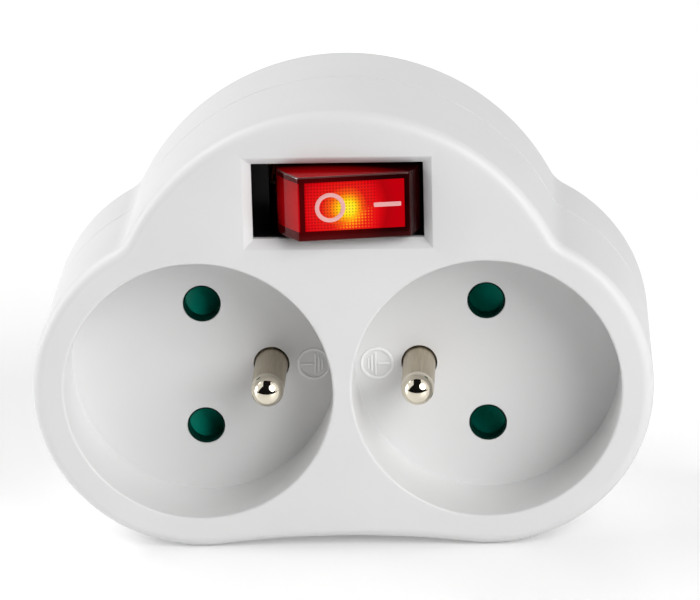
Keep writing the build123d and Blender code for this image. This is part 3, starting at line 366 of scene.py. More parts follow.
# Clear polycarbonate or glass over a lit lamp: gloss outside, the glow inside fades away from the lamp over its reach
def litPolycarbonate(name, dark, pale, glow, strength, lampAt, reach, tint="#FFFFFF", shine=0.5):
    material, add, at = newMaterial(name)
    scale = 1 / np.broadcast_to(reach, 3)
    centred = add("ShaderNodeMapping", {"Location": tuple(-scale * lampAt), "Scale": tuple(scale)}, {"Vector": at})
    fade = add("ShaderNodeTexGradient", {"gradient_type": "SPHERICAL"}, {"Vector": centred})
    flow = add(noiseNode, {"Scale": 1 / 0.003, "Detail": 2.0}, {"Vector": at})  # 3 mm flow marks
    tone = add(rampNode, {"stops": [(0.3, dark), (0.7, pale)]}, {"Fac": flow})
    lit = add(mathNode, {**times, 1: strength}, {0: (fade, "Fac")})
    skin = add(skinNode, {
        "IOR": 1.58, "Roughness": 0.12, "Specular IOR Level": shine, "Specular Tint": linear(tint),
        "Emission Color": linear(glow)}, {"Base Color": tone, "Emission Strength": lit})
    add(outputNode, {}, {"Surface": skin})
    return material


# The lit window, on the piece's own map in mm: where the lamp's spot is, how the glow fades, what the lens dots do
windowGlow = dict(
    spot=(-0.75, -0.1), beyond=1.3, upright=1.05, towards=0.88,  # the tube runs on to the left
    reach=9.0, dotPitch=0.45, dotEdge=0.38, dotFull=0.2, dotsEnd=4.2, dotsFull=2.2,  # no dots by the on sign
    slant=(0.5, -0.8, 0), slantFrom=0.7, slantTo=2.0, shade=0.42, pull=0.62,
    colours=[
        (0.0, "#FFF23A"), (0.12, "#FFE61C"), (0.19, "#FFA810"), (0.27, "#F25A10"),
        (0.38, "#E01C10"), (0.58, "#DA080E"), (0.8, "#AA040A"), (1.0, "#B8000A"),
    ],
)


# Red polycarbonate over the lamp: its yellow-orange spot fades to red, and rows of small lenses break it up.
# On the lamp's upper left the lenses are dark dots; below and beyond it each one shows the lamp.
def litWindow():
    g = windowGlow
    material, add, at = newMaterial("litDottedWindow", "UV")
    away = add(vectorNode, {"operation": "SUBTRACT", 1: (*g["spot"], 0)}, {0: at})
    toRight = add(vectorNode, {"operation": "MAXIMUM", 1: (0, -g["reach"], 0)}, {0: away})
    toLeft = add(vectorNode, {"operation": "MINIMUM", 1: (0, 0, 0)}, {0: away})
    right = add(vectorNode, {**times, 1: (g["beyond"], g["upright"], 0)}, {0: toRight})
    left = add(vectorNode, {**times, 1: (g["towards"], 0, 0)}, {0: toLeft})
    squeezed = add(vectorNode, {"operation": "ADD"}, {0: right, 1: left})
    reach = add(vectorNode, {"operation": "LENGTH"}, {0: squeezed})
    cell = add(vectorNode, {"operation": "SCALE", "Scale": 1 / g["dotPitch"]}, {0: at})
    inCell = add(vectorNode, {"operation": "FRACTION"}, {0: cell})
    offset = add(vectorNode, {"operation": "SUBTRACT", 1: (0.5, 0.5, 0)}, {0: inCell})
    dotReach = add(vectorNode, {"operation": "LENGTH"}, {0: offset})
    dot = add(rangeNode, {**softStep, "From Min": g["dotEdge"], "From Max": g["dotFull"]}, {
        "Value": (dotReach, "Value")})
    along = add("ShaderNodeSeparateXYZ", {}, {"Vector": at})
    near = add(rangeNode, {**softStep, "From Min": g["dotsEnd"], "From Max": g["dotsFull"]}, {"Value": (along, "X")})
    shown = add(mathNode, times, {0: dot, 1: near})
    slant = add(vectorNode, {"operation": "DOT_PRODUCT", 1: g["slant"]}, {0: away})
    faced = add(rangeNode, {**softStep, "From Min": g["slantFrom"], "From Max": g["slantTo"]}, {
        "Value": (slant, "Value")})
    dimmed = add(rangeNode, {"To Min": g["shade"], "To Max": 0.0}, {"Value": faced})
    drop = add(mathNode, times, {0: shown, 1: dimmed})
    level = add(mathNode, {"operation": "SUBTRACT", 0: 1.0}, {1: drop})
    nearer = add(mathNode, times, {0: shown, 1: faced})
    pull = add(rangeNode, {"To Min": 1 / g["reach"], "To Max": g["pull"] / g["reach"]}, {"Value": nearer})
    scaled = add(mathNode, times, {0: (reach, "Value"), 1: pull})
    glow = add(rampNode, {"stops": g["colours"]}, {"Fac": scaled})
    skin = add(skinNode, {
        "IOR": 1.58, "Roughness": 0.1, "Base Color": linear("#3A0004"), "Specular Tint": linear("#FF7070")}, {
        "Emission Color": glow, "Emission Strength": level})
    add(outputNode, {}, {"Surface": skin})
    return material


neonLamp = dict(depth=6.0, strength=1.5, reach=0.0058)  # depth in mm from the face, reach in metres
lampMiddle = housingSeat(0.0, opening["z"], neonLamp["depth"])

whiteAbs = mouldedAbs()
polishedHighlightAbs = glossyPlastic("polishedWhiteAbsPaintedHighlight", "#F0F0F0", "#F4F4F4", 0.2, 1.53)  # paler than the satin round it: a painted highlight on the raised signs; the low roughness is the polish
greenNylon = glossyPlastic("greenShutterNylon", "#00806A", "#00A48E", 0.3, 1.53, 0.25)  # clear green, a soft shine
linerNylon = glossyPlastic("shadedGreenLinerNylon", "#001E17", "#002C22", 0.3, 1.53, 0.12)  # painted shade: a nearly black copy of the shutters' green, for the dark ring inside the pin holes
blackNylon = glossyPlastic("blackSwitchNylon", "#060607", "#0B0B0C", 0.4, 1.53)  # deep black, dull shine
brassStrip = rolledMetal("rolledBrassStrip", "#B58A3C", "#D6B05E", 0.25, 0.38)  # yellow, bare
zincSteel = rolledMetal("zincPlatedSteel", "#A9ABAD", "#C9CBCC", 0.22, 0.34)  # cool grey
clipNickel = rolledMetal("nickelSpringStrip", "#B4AFA5", "#D2CDC3", 0.18, 0.3, run=1)  # warm grey, bright
brownPvc = glossyPlastic("brownWirePvc", "#3A1D10", "#4A2615", 0.45, 1.53)  # waxy brown
bluePvc = glossyPlastic("blueWirePvc", "#12338C", "#1A42A6", 0.45, 1.53)  # waxy blue
lacquer = glossyPlastic("resistorLacquer", "#B99B6A", "#C9AC7C", 0.4, 1.5)  # tan, half matt
lampGlass = litPolycarbonate(  # the lit gas, seen only through the gaps
    "litLampGlass", "#5A4A40", "#6E5C50", "#FF7A20", neonLamp["strength"], lampMiddle, neonLamp["reach"])
print("materials made")

# CAD nodes that stay as they are get the real finishes
kept = {
    whiteAbs: ["left_shutter_cover", "right_shutter_cover"],
    greenNylon: ["left_shutter", "right_shutter"],
    blackNylon: ["switch_frame", "switch_plunger"],
    brassStrip: ["earth_sleeve", "earth_bar", "live_bar", "neutral_bar", "contact_lever"]
    + ["line_terminal", "load_terminal", "lamp_terminal"],
    zincSteel: ["plunger_spring"],
    brownPvc: ["line_wire", "load_wire"],
    bluePvc: ["neutral_wire", "lamp_wire"],
    lacquer: ["lamp_resistor"],
    lampGlass: ["neon_lamp"],
}
for material, names in kept.items():
    for name in names:
        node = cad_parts[name]
        node.data.materials.clear()
        node.data.materials.append(material)


# Front shell: profiles carried round the outline make the rounded skirt, the switch's slopes and the inner skin,
# profiles turned round their axes make the wells and holes, and holed sheets join them.
def frontShell():
    h, w, o = housing, wells, opening
    edge, seam, lip = h["frontRound"], h["seam"] - h["seamGap"], o["slope"] + o["lip"]
    faceEdge, mouth = edge + h["faceBand"], w["radius"] + w["rim"] + w["rimBand"]
    skirt = [
        (h["wall"], seam), (h["seamBreak"], seam), (0, seam - h["seamBreak"]), (0, seam - h["seamBand"]),
        (0, h["frontMid"]), (0, edge + h["sideBand"]), *quarter(edge, h["roundSteps"]), (faceEdge, 0),
    ]
    slope = [
        (lip, 0), (o["slope"], o["lipDepth"]), (o["footIn"], o["slopeDepth"] - o["footUp"]),
        (0, o["slopeDepth"]), (0, h["faceWall"]),
    ]
    wall = [
        (mouth, 0), *((w["radius"] + back, inset) for inset, back in quarter(w["rim"], w["rimSteps"])),
        (w["radius"], w["rim"] + w["wallBand"]), (w["radius"], w["mid"]),
        (w["radius"], w["depth"] - w["foot"] - w["wallBand"]),
        *((w["radius"] - inset, w["depth"] - back) for inset, back in quarter(w["foot"], w["footSteps"])),
        (w["radius"] - w["foot"] - w["footBand"], w["depth"]),
    ]
    hole = [
        (w["linerHole"] + w["holeBreak"], w["depth"]), (w["linerHole"], w["depth"] + w["holeBreak"]),
        *((w[key], w["linerSeatDepth"]) for key in ("linerHole", "linerSeat")), (w["linerSeat"], w["floorBack"]),
    ]
    earth = [
        (w["earthHole"] + w["holeBreak"], w["depth"]), (w["earthHole"], w["depth"] + w["holeBreak"]),
        (w["earthHole"], w["floorBack"]),
    ]

    def slopeLoop(out):
        return boxLoop(0, o["z"], o["length"] / 2 + out, o["height"] / 2 + out, o["corner"])

    faceHoles, backHoles = (circles(wellSpots, radius, w["steps"]) for radius in (mouth, w["outside"]))
    patches = [
        carried(housingLoop, skirt), carried(slopeLoop, slope),
        carried(housingLoop, [(h["wall"], seam), (h["wall"], h["faceWall"])]),
        holedFlat(0, housingLoop(faceEdge), *faceHoles, slopeLoop(lip)),
        holedFlat(h["faceWall"], housingLoop(h["wall"]), *backHoles, slopeLoop(0)),
    ]
    for (x, z), pins, pin in zip(wellSpots, holeSpots, earthSpots):
        for depth, reach, row in ((w["depth"], wall[-1][0], 0), (w["floorBack"], w["outside"], -1)):
            loops = [*circles(pins, hole[row][0]), circleLoop(*pin, earth[row][0])]
            patches.append(holedFlat(depth, circleLoop(x, z, reach, w["steps"]), *loops))
        outside = [(w["outside"], h["faceWall"]), (w["outside"], w["floorBack"])]
        patches += [turned(x, z, rows, w["steps"]) for rows in (wall, outside)]
        patches += [turned(*spot, hole) for spot in pins] + [turned(*pin, earth)]
    piece = makePiece("frontShell", patches, [whiteAbs], "housing")
    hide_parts("front_cover")


# Rear shell: the same ways make its skirt, back, plug body and inner skin, with three screw seats, two strap slots,
# two pin holes and the earth hole.
def rearShell():
    h, p, s = housing, plug, seats
    edge, seam, tip = h["rearRound"], h["seam"] + h["seamGap"], h["back"] + p["length"]
    inside, floor, mouth = h["back"] - h["rearWall"], tip - p["end"], p["earthHole"] + p["earthBevel"]
    backEdge, tipEdge, seatEdge = edge + h["faceBand"], p["round"] + p["tipBand"], s["radius"] + s["bevel"]
    skirt = [
        (h["wall"], seam), (h["seamBreak"], seam), (0, seam + h["seamBreak"]), (0, seam + h["seamBand"]),
        (0, h["rearMid"]), (0, h["back"] - edge - h["sideBand"]),
        *((inset, h["back"] - back) for inset, back in quarter(edge, h["roundSteps"])), (backEdge, h["back"]),
    ]
    body = [
        (0, h["back"]), (0, h["back"] + p["band"]), (0, h["back"] + p["mid"]), (0, tip - p["round"] - p["band"]),
        *((inset, tip - back) for inset, back in quarter(p["round"], p["roundSteps"])), (tipEdge, tip),
    ]
    seat = [
        (seatEdge, h["back"]), (s["radius"], h["back"] - s["bevel"]), (s["radius"], s["depth"]),
        (s["shank"], s["depth"]), (s["shank"], s["bossEnd"]), (s["bossRadius"], s["bossEnd"]),
        (s["bossRadius"], inside),
    ]
    pins, earth = [(side * p["pinX"], h["discZ"]) for side in (-1, 1)], (0, h["discZ"] + wells["earthOffset"])
    slotZ, slotTall = (p["slotFrom"] + p["slotTo"]) / 2, (p["slotTo"] - p["slotFrom"]) / 2
    slots = [boxLoop(0, h["discZ"] + side * slotZ, p["slotHalf"], slotTall, p["slotCorner"]) for side in (-1, 1)]
    pinHoles = circles(pins, p["pinHole"])
    patches = [
        carried(housingLoop, skirt), carried(plugLoop, body),
        carried(plugLoop, [(p["wall"], inside), (p["wall"], floor)]),
        carried(housingLoop, [(h["wall"], seam), (h["wall"], inside)]),
        *(carried(lambda _: loop, [(0, h["back"]), (0, inside)]) for loop in slots),
        *(turned(*pin, [(p["pinHole"], tip), (p["pinHole"], floor)]) for pin in pins),
        turned(*earth, [(mouth, tip), (p["earthHole"], tip - p["earthBevel"]), (p["earthHole"], floor)]),
        *(turned(*spot, seat) for spot in s["spots"]),
        holedFlat(h["back"], housingLoop(backEdge), plugLoop(0), *circles(s["spots"], seatEdge), *slots),
        holedFlat(tip, plugLoop(tipEdge), *pinHoles, circleLoop(*earth, mouth)),
        holedFlat(floor, plugLoop(p["wall"]), *pinHoles, circleLoop(*earth, p["earthHole"])),
        holedFlat(inside, housingLoop(h["wall"]), plugLoop(p["wall"]), *circles(s["spots"], s["bossRadius"]), *slots),
    ]
    piece = makePiece("rearShell", patches, [whiteAbs], "housing")
    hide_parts("rear_cover")


# Hole liners: a flanged green ring in each pin hole, level with the well floor
holeLiner = dict(inner=2.55, mouth=0.1, outer=2.75, flange=3.15, flangeDepth=14.2)


# Each ring is its section turned round the hole's axis.
def holeLiners():
    e, front, back = holeLiner, wells["depth"], wells["floorBack"]
    rows = [
        (e["inner"], front + e["mouth"]), (e["inner"] + e["mouth"], front), (e["outer"], front),
        (e["outer"], e["flangeDepth"]), (e["flange"], e["flangeDepth"]), (e["flange"], back), (e["inner"], back),
        (e["inner"], front + e["mouth"]),
    ]
    for side, spots in zip(("left", "right"), holeSpots):
        rings = [turned(*spot, rows) for spot in spots]
        # the near-black liner green is painted shade inside the holes
        piece = makePiece(side + "HoleLiners", rings, [linerNylon], "housing")
        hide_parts(side + "_hole_liners")


frontShell()
rearShell()
holeLiners()
print("housing made")

# Round pins in mm: a domed earth pin in each well, two rounded plug pins behind; the polish fades in near the tip
earthPin = dict(
    radius=2.4, reach=14.0, mid=6.0, swell=0.18, swellDepth=13.3, rootDepth=14.8, collar=3.4, collarDepth=16.05,
    tail=1.6, tailDepth=17.65, band=0.1, polish=(3.3, 2.7),
)
plugPin = dict(radius=2.4, length=19.0, mid=8.0, tip=1.9, root=2.7, collar=3.6, collarLength=1.2, polish=(2.0, 1.2))
pinSteps, tipSteps = 64, 16
earthTip = wells["depth"] - earthPin["reach"]
plugRoot = housing["back"] + plug["length"]
plugTip = plugRoot + plugPin["length"]
earthNickel = drawnNickel("nickelEarthPin", *((faceY + earthTip + away) * mm for away in earthPin["polish"]))
plugNickel = drawnNickel("nickelPlugPin", *((faceY + plugTip - away) * mm for away in plugPin["polish"]))


# Each pin is its profile turned round its axis, with a quarter circle for the dome or the rounded end.
def roundPins():
    e, p, back = earthPin, plugPin, housing["back"]
    root = e["radius"] + e["swell"]
    rows = [
        *((e["radius"] - setback, earthTip + inset) for inset, setback in quarter(e["radius"], tipSteps)),
        (e["radius"], earthTip + e["radius"] + e["band"]), (e["radius"], e["mid"]), (e["radius"], e["swellDepth"]),
        (root, e["swellDepth"] + e["swell"]), (root, e["rootDepth"]),
        (e["collar"], e["rootDepth"]), (e["collar"], e["collarDepth"]), (e["tail"], e["collarDepth"]),
        (e["tail"], e["tailDepth"]), (0, e["tailDepth"]),
    ]
    for side, spot in zip(("left", "right"), earthSpots):
        piece = makePiece(side + "EarthPin", [turned(*spot, rows, pinSteps)], [earthNickel], "housing")
        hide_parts(side + "_earth_pin")
    rows = [
        (0, back - p["collarLength"]), (p["collar"], back - p["collarLength"]), (p["collar"], back),
        (p["root"], back), (p["root"], plugRoot), (p["radius"], plugRoot), (p["radius"], plugRoot + p["mid"]),
        *((p["radius"] - inset, plugTip - setback) for inset, setback in quarter(p["tip"], tipSteps)), (0, plugTip),
    ]
    for side, name in ((1, "live"), (-1, "neutral")):
        shaft = turned(side * plug["pinX"], housing["discZ"], rows, pinSteps)
        piece = makePiece(name + "PlugPin", [shaft], [plugNickel], "housing")
        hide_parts(name + "_pin")


roundPins()
print("pins made")

# Shutter springs in mm: an open coil from each shutter out to the cage wall, squeezed as a plug pushes the shutter
shutterSpring = dict(
    inner=25.777, outer=34.223, coil=1.08, wire=0.22, turns=5, depth=16.95, travel=6.2, perTurn=24, aroundWire=12,
)


# The wire's circle is carried along a helix: out from the axis by the coil, turned evenly, moved on by the pitch.
def shutterSprings():
    s = shutterSpring
    turn = np.linspace(0, 2 * pi * s["turns"], s["perTurn"] * s["turns"] + 1)[:, None]
    around = 2 * pi * np.arange(s["aroundWire"]) / s["aroundWire"]
    pitch = (s["outer"] - s["inner"]) / turn[-1]  # travel along the axis for one radian
    slant = np.hypot(pitch, s["coil"])
    out = s["coil"] + s["wire"] * np.cos(around)
    ahead = s["wire"] * np.sin(around)
    x = s["inner"] + pitch * turn + ahead * s["coil"] / slant
    depth = s["depth"] + out * np.sin(turn) - ahead * pitch / slant * np.cos(turn)
    z = housing["wellZ"] + out * np.cos(turn) + ahead * pitch / slant * np.sin(turn)
    fixed = s["outer"] + s["wire"]
    for side, name in ((-1, "left"), (1, "right")):
        coil = closedTube(housingSeat(side * x, z, depth))
        piece = makePiece(name + "ShutterSpring", [coil], [zincSteel], "housing")
        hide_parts(name + "_shutter_spring")
        anchor = housingSeat(side * fixed, housing["wellZ"], s["depth"])
        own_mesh(piece)


shutterSprings()
print("springs made")

# Rocker in its own axes: x along the face, y towards the pivot, leaning over to the on side; sizes in mm
rocker = dict(
    lean=8.0, pivotDepth=16.0, rise=18.07, face=8.0, shoulder=9.7, shoulderBack=3.0, skirt=10.5, skirtBack=5.1,
    cap=8.6, half=4.75, corner=0.35, cornerSteps=5, edge=0.2, edgeSteps=5,
    windowX=(-7.05, 7.2), windowZ=(-3.3, 3.9), recess=1.2,
)
# The panel in that window: its grid, and the lens dots in mm, with the lens radius in parts of a cell
pane = dict(
    columns=257, rows=124, gap=0.01, thick=1.0, sunk=0.04, margin=0.2,
    dotHeight=0.03, dotRadius=0.4, dotsTo=4.0, dotsFade=1.5,
)
# Where the glow in the cap comes from, in mm on the front face and out from it, and its reaches in metres
capGlow = dict(
    lamp=(-4.4, 0.0, -0.6), shade=(-5.0, 0.0, 0.5), lensReach=0.0082, rimReach=0.0095,
    shadeReach=(0.0165, 0.0072, 0.0105),
)


def rockerSeat(x, y, z):
    x, y, z = np.broadcast_arrays(x, y, z)
    c, s = cos(radians(rocker["lean"])), sin(radians(rocker["lean"]))
    return np.stack([x * c - y * s, faceY + rocker["pivotDepth"] + x * s + y * c, opening["z"] + z], axis=-1) * mm


def rockerFaceSeat(x, z, out):  # on the front face, out from it
    return rockerSeat(x, -rocker["rise"] - out, z)


lampAt, shadeAt, rimReach = rockerFaceSeat(*capGlow["lamp"]), rockerFaceSeat(*capGlow["shade"]), capGlow["rimReach"]
redLens = litPolycarbonate(  # the lamp's side: clear red, lit
    "redLitPolycarbonate", "#620006", "#740008", "#F00A14", 0.68, lampAt, capGlow["lensReach"], "#FF6060")
redShade = litPolycarbonate(  # painted shade: a darker copy of the red lens for the top and the far end, its glow fading to near black
    "redShadedPolycarbonate", "#220002", "#2C0003", "#D00810", 0.95, shadeAt, capGlow["shadeReach"], "#C04040", 0.18)
rimMaroon = litPolycarbonate(  # the thick edges: dark maroon
    "maroonThickPolycarbonate", "#1C0203", "#260304", "#82060C", 0.42, lampAt, rimReach, "#C05050")
rimGlint = litPolycarbonate(  # painted highlight: a paler copy of the thick edge with full shine, on the rounded upper edge
    "paintedGlintEdgePolycarbonate", "#4A2A28", "#5A3634", "#82060C", 0.2, lampAt, rimReach, shine=1.0)
underside = litPolycarbonate(  # hardly lit, so that no red falls below
    "unlitRedPolycarbonate", "#1C0203", "#260304", "#82060C", 0.1, lampAt, rimReach, "#C05050")
window = litWindow()
signInk = glossyPlastic("whiteSignInkPaintedRedLight", "#E8A6A4", "#EFB2AE", 0.4, 1.5)  # white ink, with the pink of the cap's red light painted into its colour


# Rocker cap: a profile of eight rounded corners carried up the height, its top and bottom edges rounded.
# The front has a sunk seat for the dotted panel; the thick edges round it are the dark finish.
def rockerCap():
    r = rocker
    front, back = -r["rise"], r["cap"] - r["rise"]
    half = [
        (r["face"], front), (r["shoulder"], front + r["shoulderBack"]),
        (r["skirt"], front + r["skirtBack"]), (r["skirt"], back),
    ]
    arcs = roundedCorners(half + [(-x, y) for x, y in reversed(half)], r["corner"], r["cornerSteps"])
    span = np.array([[x, front] for x in r["windowX"]])

    def loop(inset):  # the profile, with the window's two ends on its front
        return np.concatenate([arcLoop(arcs, inset), span + [0, inset]])

    low = [(inset, setback - r["half"]) for inset, setback in quarter(r["edge"], r["edgeSteps"])[::-1]]
    rows = low + [(0, z) for z in r["windowZ"]] + [(inset, -z) for inset, z in low[::-1]]
    points = np.stack([rockerSeat(*loop(inset).T, z) for inset, z in rows])
    verts, faces = gridPatch(points)
    count, tall, perCorner = points.shape[1], len(low), r["cornerSteps"] + 1  # tall is the row that holds the window
    row, column = np.divmod(np.arange(len(faces)), count)
    inWindow = (row == tall) & (column == count - 2)
    lit, thick, shaded, glint, under = range(5)
    nearEnd = column >= 6 * perCorner - 1
    mark = np.where((column >= count - 3) | (row < tall), thick, lit)
    mark[column < 3 * perCorner - 1] = shaded  # painted shade: the far end takes the darker shaded copy
    # the far corner takes the dark thick-edge finish, painted shade as well
    mark[column < perCorner] = thick
    mark[(row == tall + 1) & nearEnd] = thick
    # painted highlight: the rounded top edge at the near end and front takes the glint copy
    mark[(row > tall + 1) & nearEnd] = glint
    capLow, capHigh = (holedFlat(z, loop(inset), seat=rockerSeat) for inset, z in (rows[0], rows[-1]))
    (x0, x1), (z0, z1) = r["windowX"], r["windowZ"]
    rim = np.array([[x0, z0], [x1, z0], [x1, z1], [x0, z1]])
    sunk = np.stack([rockerFaceSeat(*rim.T, -depth) for depth in (0, r["recess"])])
    recess = [gridPatch(sunk), (sunk[1], np.arange(len(rim))[None])]
    # painted shade: the top takes the shaded copy; the bottom the hardly lit one
    marks = [mark[~inWindow], np.full(len(capLow[1]), under), np.full(len(capHigh[1]), shaded)]
    marks.append(np.full(len(rim) + 1, thick))
    piece = makePiece(
        "rockerCap", [(verts, faces[~inWindow]), capLow, capHigh, *recess],
        [redLens, rimMaroon, redShade, rimGlint, underside], "rocker_body", marks=marks)
    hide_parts("rocker")


# Window panel: a fine grid with a low round lens on each cell, walls and a back behind it. A lens rises as a circle
# does above its chord, and its map is in mm from the middle of the face.
def windowPanel():
    r, p = rocker, pane
    (x0, x1), (z0, z1) = r["windowX"], r["windowZ"]
    x, z = np.meshgrid(
        np.linspace(x0 + p["gap"], x1 - p["gap"], p["columns"]), np.linspace(z0 + p["gap"], z1 - p["gap"], p["rows"]))
    cell = np.stack([x, z], axis=-1) / windowGlow["dotPitch"]
    away = np.linalg.norm(cell - np.floor(cell) - 0.5, axis=-1)
    lens = p["dotHeight"] * np.sqrt(np.clip(1 - (away / p["dotRadius"]) ** 2, 0, 1))
    lens = lens * np.clip((p["dotsTo"] - x) / p["dotsFade"], 0, 1)
    m = p["margin"]
    inner = (x > x0 + m) & (x < x1 - m) & (z > z0 + m) & (z < z1 - m)
    points = rockerFaceSeat(x, z, np.where(inner, lens, 0) - p["sunk"])
    edge = np.concatenate([points[0, :-1], points[:-1, -1], points[-1, :0:-1], points[:0:-1, 0]])  # once round
    back = edge + rockerFaceSeat(0, 0, -p["thick"]) - rockerFaceSeat(0, 0, 0)
    walls = gridPatch(np.stack([edge, back, back.mean(axis=0) + 0 * back]))
    piece = makePiece(
        "rockerWindow", [gridPatch(points, wrap=False), walls], [window], "rocker_body", crease=60)
    mesh = piece.data
    at = np.empty(len(mesh.vertices) * 3)
    mesh.vertices.foreach_get("co", at)
    at = at.reshape(-1, 3) / mm - [0, faceY + r["pivotDepth"], opening["z"]]
    c, s = cos(radians(r["lean"])), sin(radians(r["lean"]))
    flat = np.stack([at[:, 0] * c + at[:, 1] * s, at[:, 2]], axis=-1)
    corner = np.empty(len(mesh.loops), dtype=np.int32)
    mesh.loops.foreach_get("vertex_index", corner)
    mesh.uv_layers.new(name="faceMap").data.foreach_set("uv", flat[corner].ravel())


# Printed signs on the rocker in mm: a ring for off and a bar for on, each a low band with a bevelled top
rockerSign = dict(
    ring=(-3.45, 0.12), ringInner=1.57, ringOuter=2.17, ringSteps=96, bar=(4.75, 0.2), barHalf=(1.95, 0.32),
    barCorner=0.1, levels=(-0.05, 0.03, 0.05), bevel=0.05,
)


def rockerSigns():
    s = rockerSign
    lay = dict(levels=s["levels"], bevel=s["bevel"], seat=rockerFaceSeat)
    ring = raisedRing(*s["ring"], s["ringInner"], s["ringOuter"], steps=s["ringSteps"], **lay)
    makePiece("rockerRing", [ring], [signInk], "rocker_body")
    bar = raisedBar(*s["bar"], *s["barHalf"], s["barCorner"], **lay)
    makePiece("rockerBar", bar, [signInk], "rocker_body")


rockerCap()
windowPanel()
rockerSigns()
print("rocker made")

# Earth signs moulded on the well floors in mm: a ring round a stem and three bars, all raised by 0.2 mm
earthSign = dict(
    x=4.66, drop=0.06, ring=2.46, line=0.4, rise=0.2, sunk=0.05, bevel=0.05, barLine=0.3, barCorner=0.08,
    bars=((0.22, 1.72), (0.76, 1.25), (1.26, 0.8)), stemX=0.98, stemHalf=0.96,
)


def earthSigns():
    e, top = earthSign, wells["depth"] - earthSign["rise"]
    lay = dict(levels=(wells["depth"] + e["sunk"], top + e["bevel"], top), bevel=e["bevel"])
    half, z = e["barLine"] / 2, housing["wellZ"] - e["drop"]
    for side, name in ((-1, "left"), (1, "right")):
        x = side * e["x"]
        patches = [raisedRing(x, z, e["ring"] - e["line"], e["ring"], **lay)]
        strokes = [(x - side * away, half, tall) for away, tall in e["bars"]]
        for barX, halfX, halfZ in strokes + [(x + side * e["stemX"], e["stemHalf"], half)]:
            patches += raisedBar(barX, z, halfX, halfZ, e["barCorner"], **lay)
        # the raised signs take the paler white: painted highlight
        makePiece(name + "EarthSign", patches, [polishedHighlightAbs], "housing")


earthSigns()

# Cover screws in mm: a domed head with a cross recess and a plain pointed shank
screwHead = dict(
    radius=2.75, height=2.0, dome=0.5, edge=0.5, edgeSteps=6, arm=0.42, reach=1.75, cut=1.25, taper=0.45,
    sideRun=0.12, endRun=0.25, shank=1.4, shankLength=14.3, point=0.7, length=15.0, steps=96, rings=48,
)


# The head is a polar grid: its height falls as the square of the radius, less the recess, deepest in the middle.
def coverScrews():
    s, seat = screwHead, seats["depth"]
    flat = s["radius"] - s["edge"]
    a, r = np.meshgrid(2 * pi * np.arange(s["steps"]) / s["steps"], np.linspace(0, flat, s["rings"]))
    u, v = np.abs(r * np.cos(a)), np.abs(r * np.sin(a))
    across, along = np.minimum(u, v), np.maximum(u, v)  # from the nearer arm's middle line, and out along it
    slot = np.clip((s["arm"] - across) / s["sideRun"], 0, 1) * np.clip((s["reach"] - along) / s["endRun"], 0, 1)
    deep = s["cut"] * slot * (1 - s["taper"] * along / s["reach"])
    height = s["height"] - s["dome"] * (r / s["radius"]) ** 2 - deep
    top = seat + s["height"] - s["dome"] * (flat / s["radius"]) ** 2
    rows = [
        *((s["radius"] - setback, top - inset) for inset, setback in quarter(s["edge"], s["edgeSteps"])),
        (s["radius"], seat), (s["shank"], seat), (s["shank"], seat - s["shankLength"]),
        (s["point"], seat - s["length"]), (0, seat - s["length"]),
    ]
    patches = []
    for x, z in seats["spots"]:
        patches.append(gridPatch(housingSeat(x + r * np.cos(a), z + r * np.sin(a), seat + height)))
        patches.append(turned(x, z, rows, s["steps"]))
    piece = makePiece("coverScrews", patches, [zincSteel], "housing", crease=40)
    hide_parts("cover_screws")


coverScrews()

# Earth clip in mm: one strip across the plug root with a sprung leg along each flat, bowed and rounded at its tip
earthClip = dict(
    width=6.0, thick=0.8, reach=14.8, bow=0.45, bowFrom=2.0, tip=2.0, gap=0.05, edge=0.12, edgeSteps=3,
    strapCorner=0.15, strapBevel=0.1, legSteps=40, tipSteps=16,
)


# Each leg is a flat section carried along the plug's flat: a smooth hump lifts it, a half circle narrows its tip.
def clipPiece():
    c, root, tip = earthClip, housing["back"], earthClip["tip"]
    inside, end = root - housing["rearWall"], root + c["reach"]
    tipRun = end - tip + tip * np.sin(np.linspace(0, pi / 2, c["tipSteps"]))
    run = np.concatenate([np.linspace(inside, end - tip, c["legSteps"]), tipRun[1:]])
    share = np.clip((run - root - c["bowFrom"]) / (c["reach"] - c["bowFrom"]), 0, 1)
    lift = c["bow"] * np.sin(pi * share) ** 2
    tipShare = np.clip((run - end + tip) / tip, 0, 1)
    halfWidth = c["width"] / 2 - tip * (1 - np.sqrt(np.clip(1 - tipShare**2, 0, 1)))
    corners = [(-1, 0), (1, 0), (1, c["thick"]), (-1, c["thick"])]
    section = arcLoop(roundedCorners(corners, c["edge"], c["edgeSteps"]), 0)
    patches = []
    for side in (-1, 1):
        z = housing["discZ"] + side * (plug["flat"] + c["gap"] + lift[:, None] + section[None, :, 1])
        patches.append(closedTube(housingSeat(np.outer(halfWidth, section[:, 0]), z, run[:, None])))
    tall, front, bevel = plug["flat"] + c["thick"] + c["gap"], inside - c["thick"], c["strapBevel"]

    def strapLoop(inset):
        return boxLoop(0, housing["discZ"], c["width"] / 2 - inset, tall - inset, c["strapCorner"])

    patches += slab(strapLoop, [(bevel, front), (0, front + bevel), (0, inside - bevel), (bevel, inside)])
    piece = makePiece("earthClip", patches, [clipNickel], "housing")
    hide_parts("earth_clip")


clipPiece()
print("small pieces made")

# Stage in metres: a pale floor, white to the camera, that keeps the shadow
stage = dict(floor="#F6F6F6", roughness=0.3, lift=0.2, reach=4.0, drop=0.0002, worldToCamera=1.0, worldToObject=0.2)


def seenDirectly(add):  # 1 for rays from the camera, a mirror or glass, otherwise 0
    path = add("ShaderNodeLightPath")
    seen = add(mathNode, {"operation": "MAXIMUM"}, {0: (path, "Is Camera Ray"), 1: (path, "Is Glossy Ray")})
    return add(mathNode, {"operation": "MAXIMUM"}, {0: seen, 1: (path, "Is Transmission Ray")})


def stageSheet(name, points, material):
    verts, faces = gridPatch(points, wrap=False)
    mesh = bpy.data.meshes.new(name)
    mesh.from_pydata(verts, [], faces.tolist())
    mesh.materials.append(material)
    sheet = addObject(name, mesh)
    return sheet


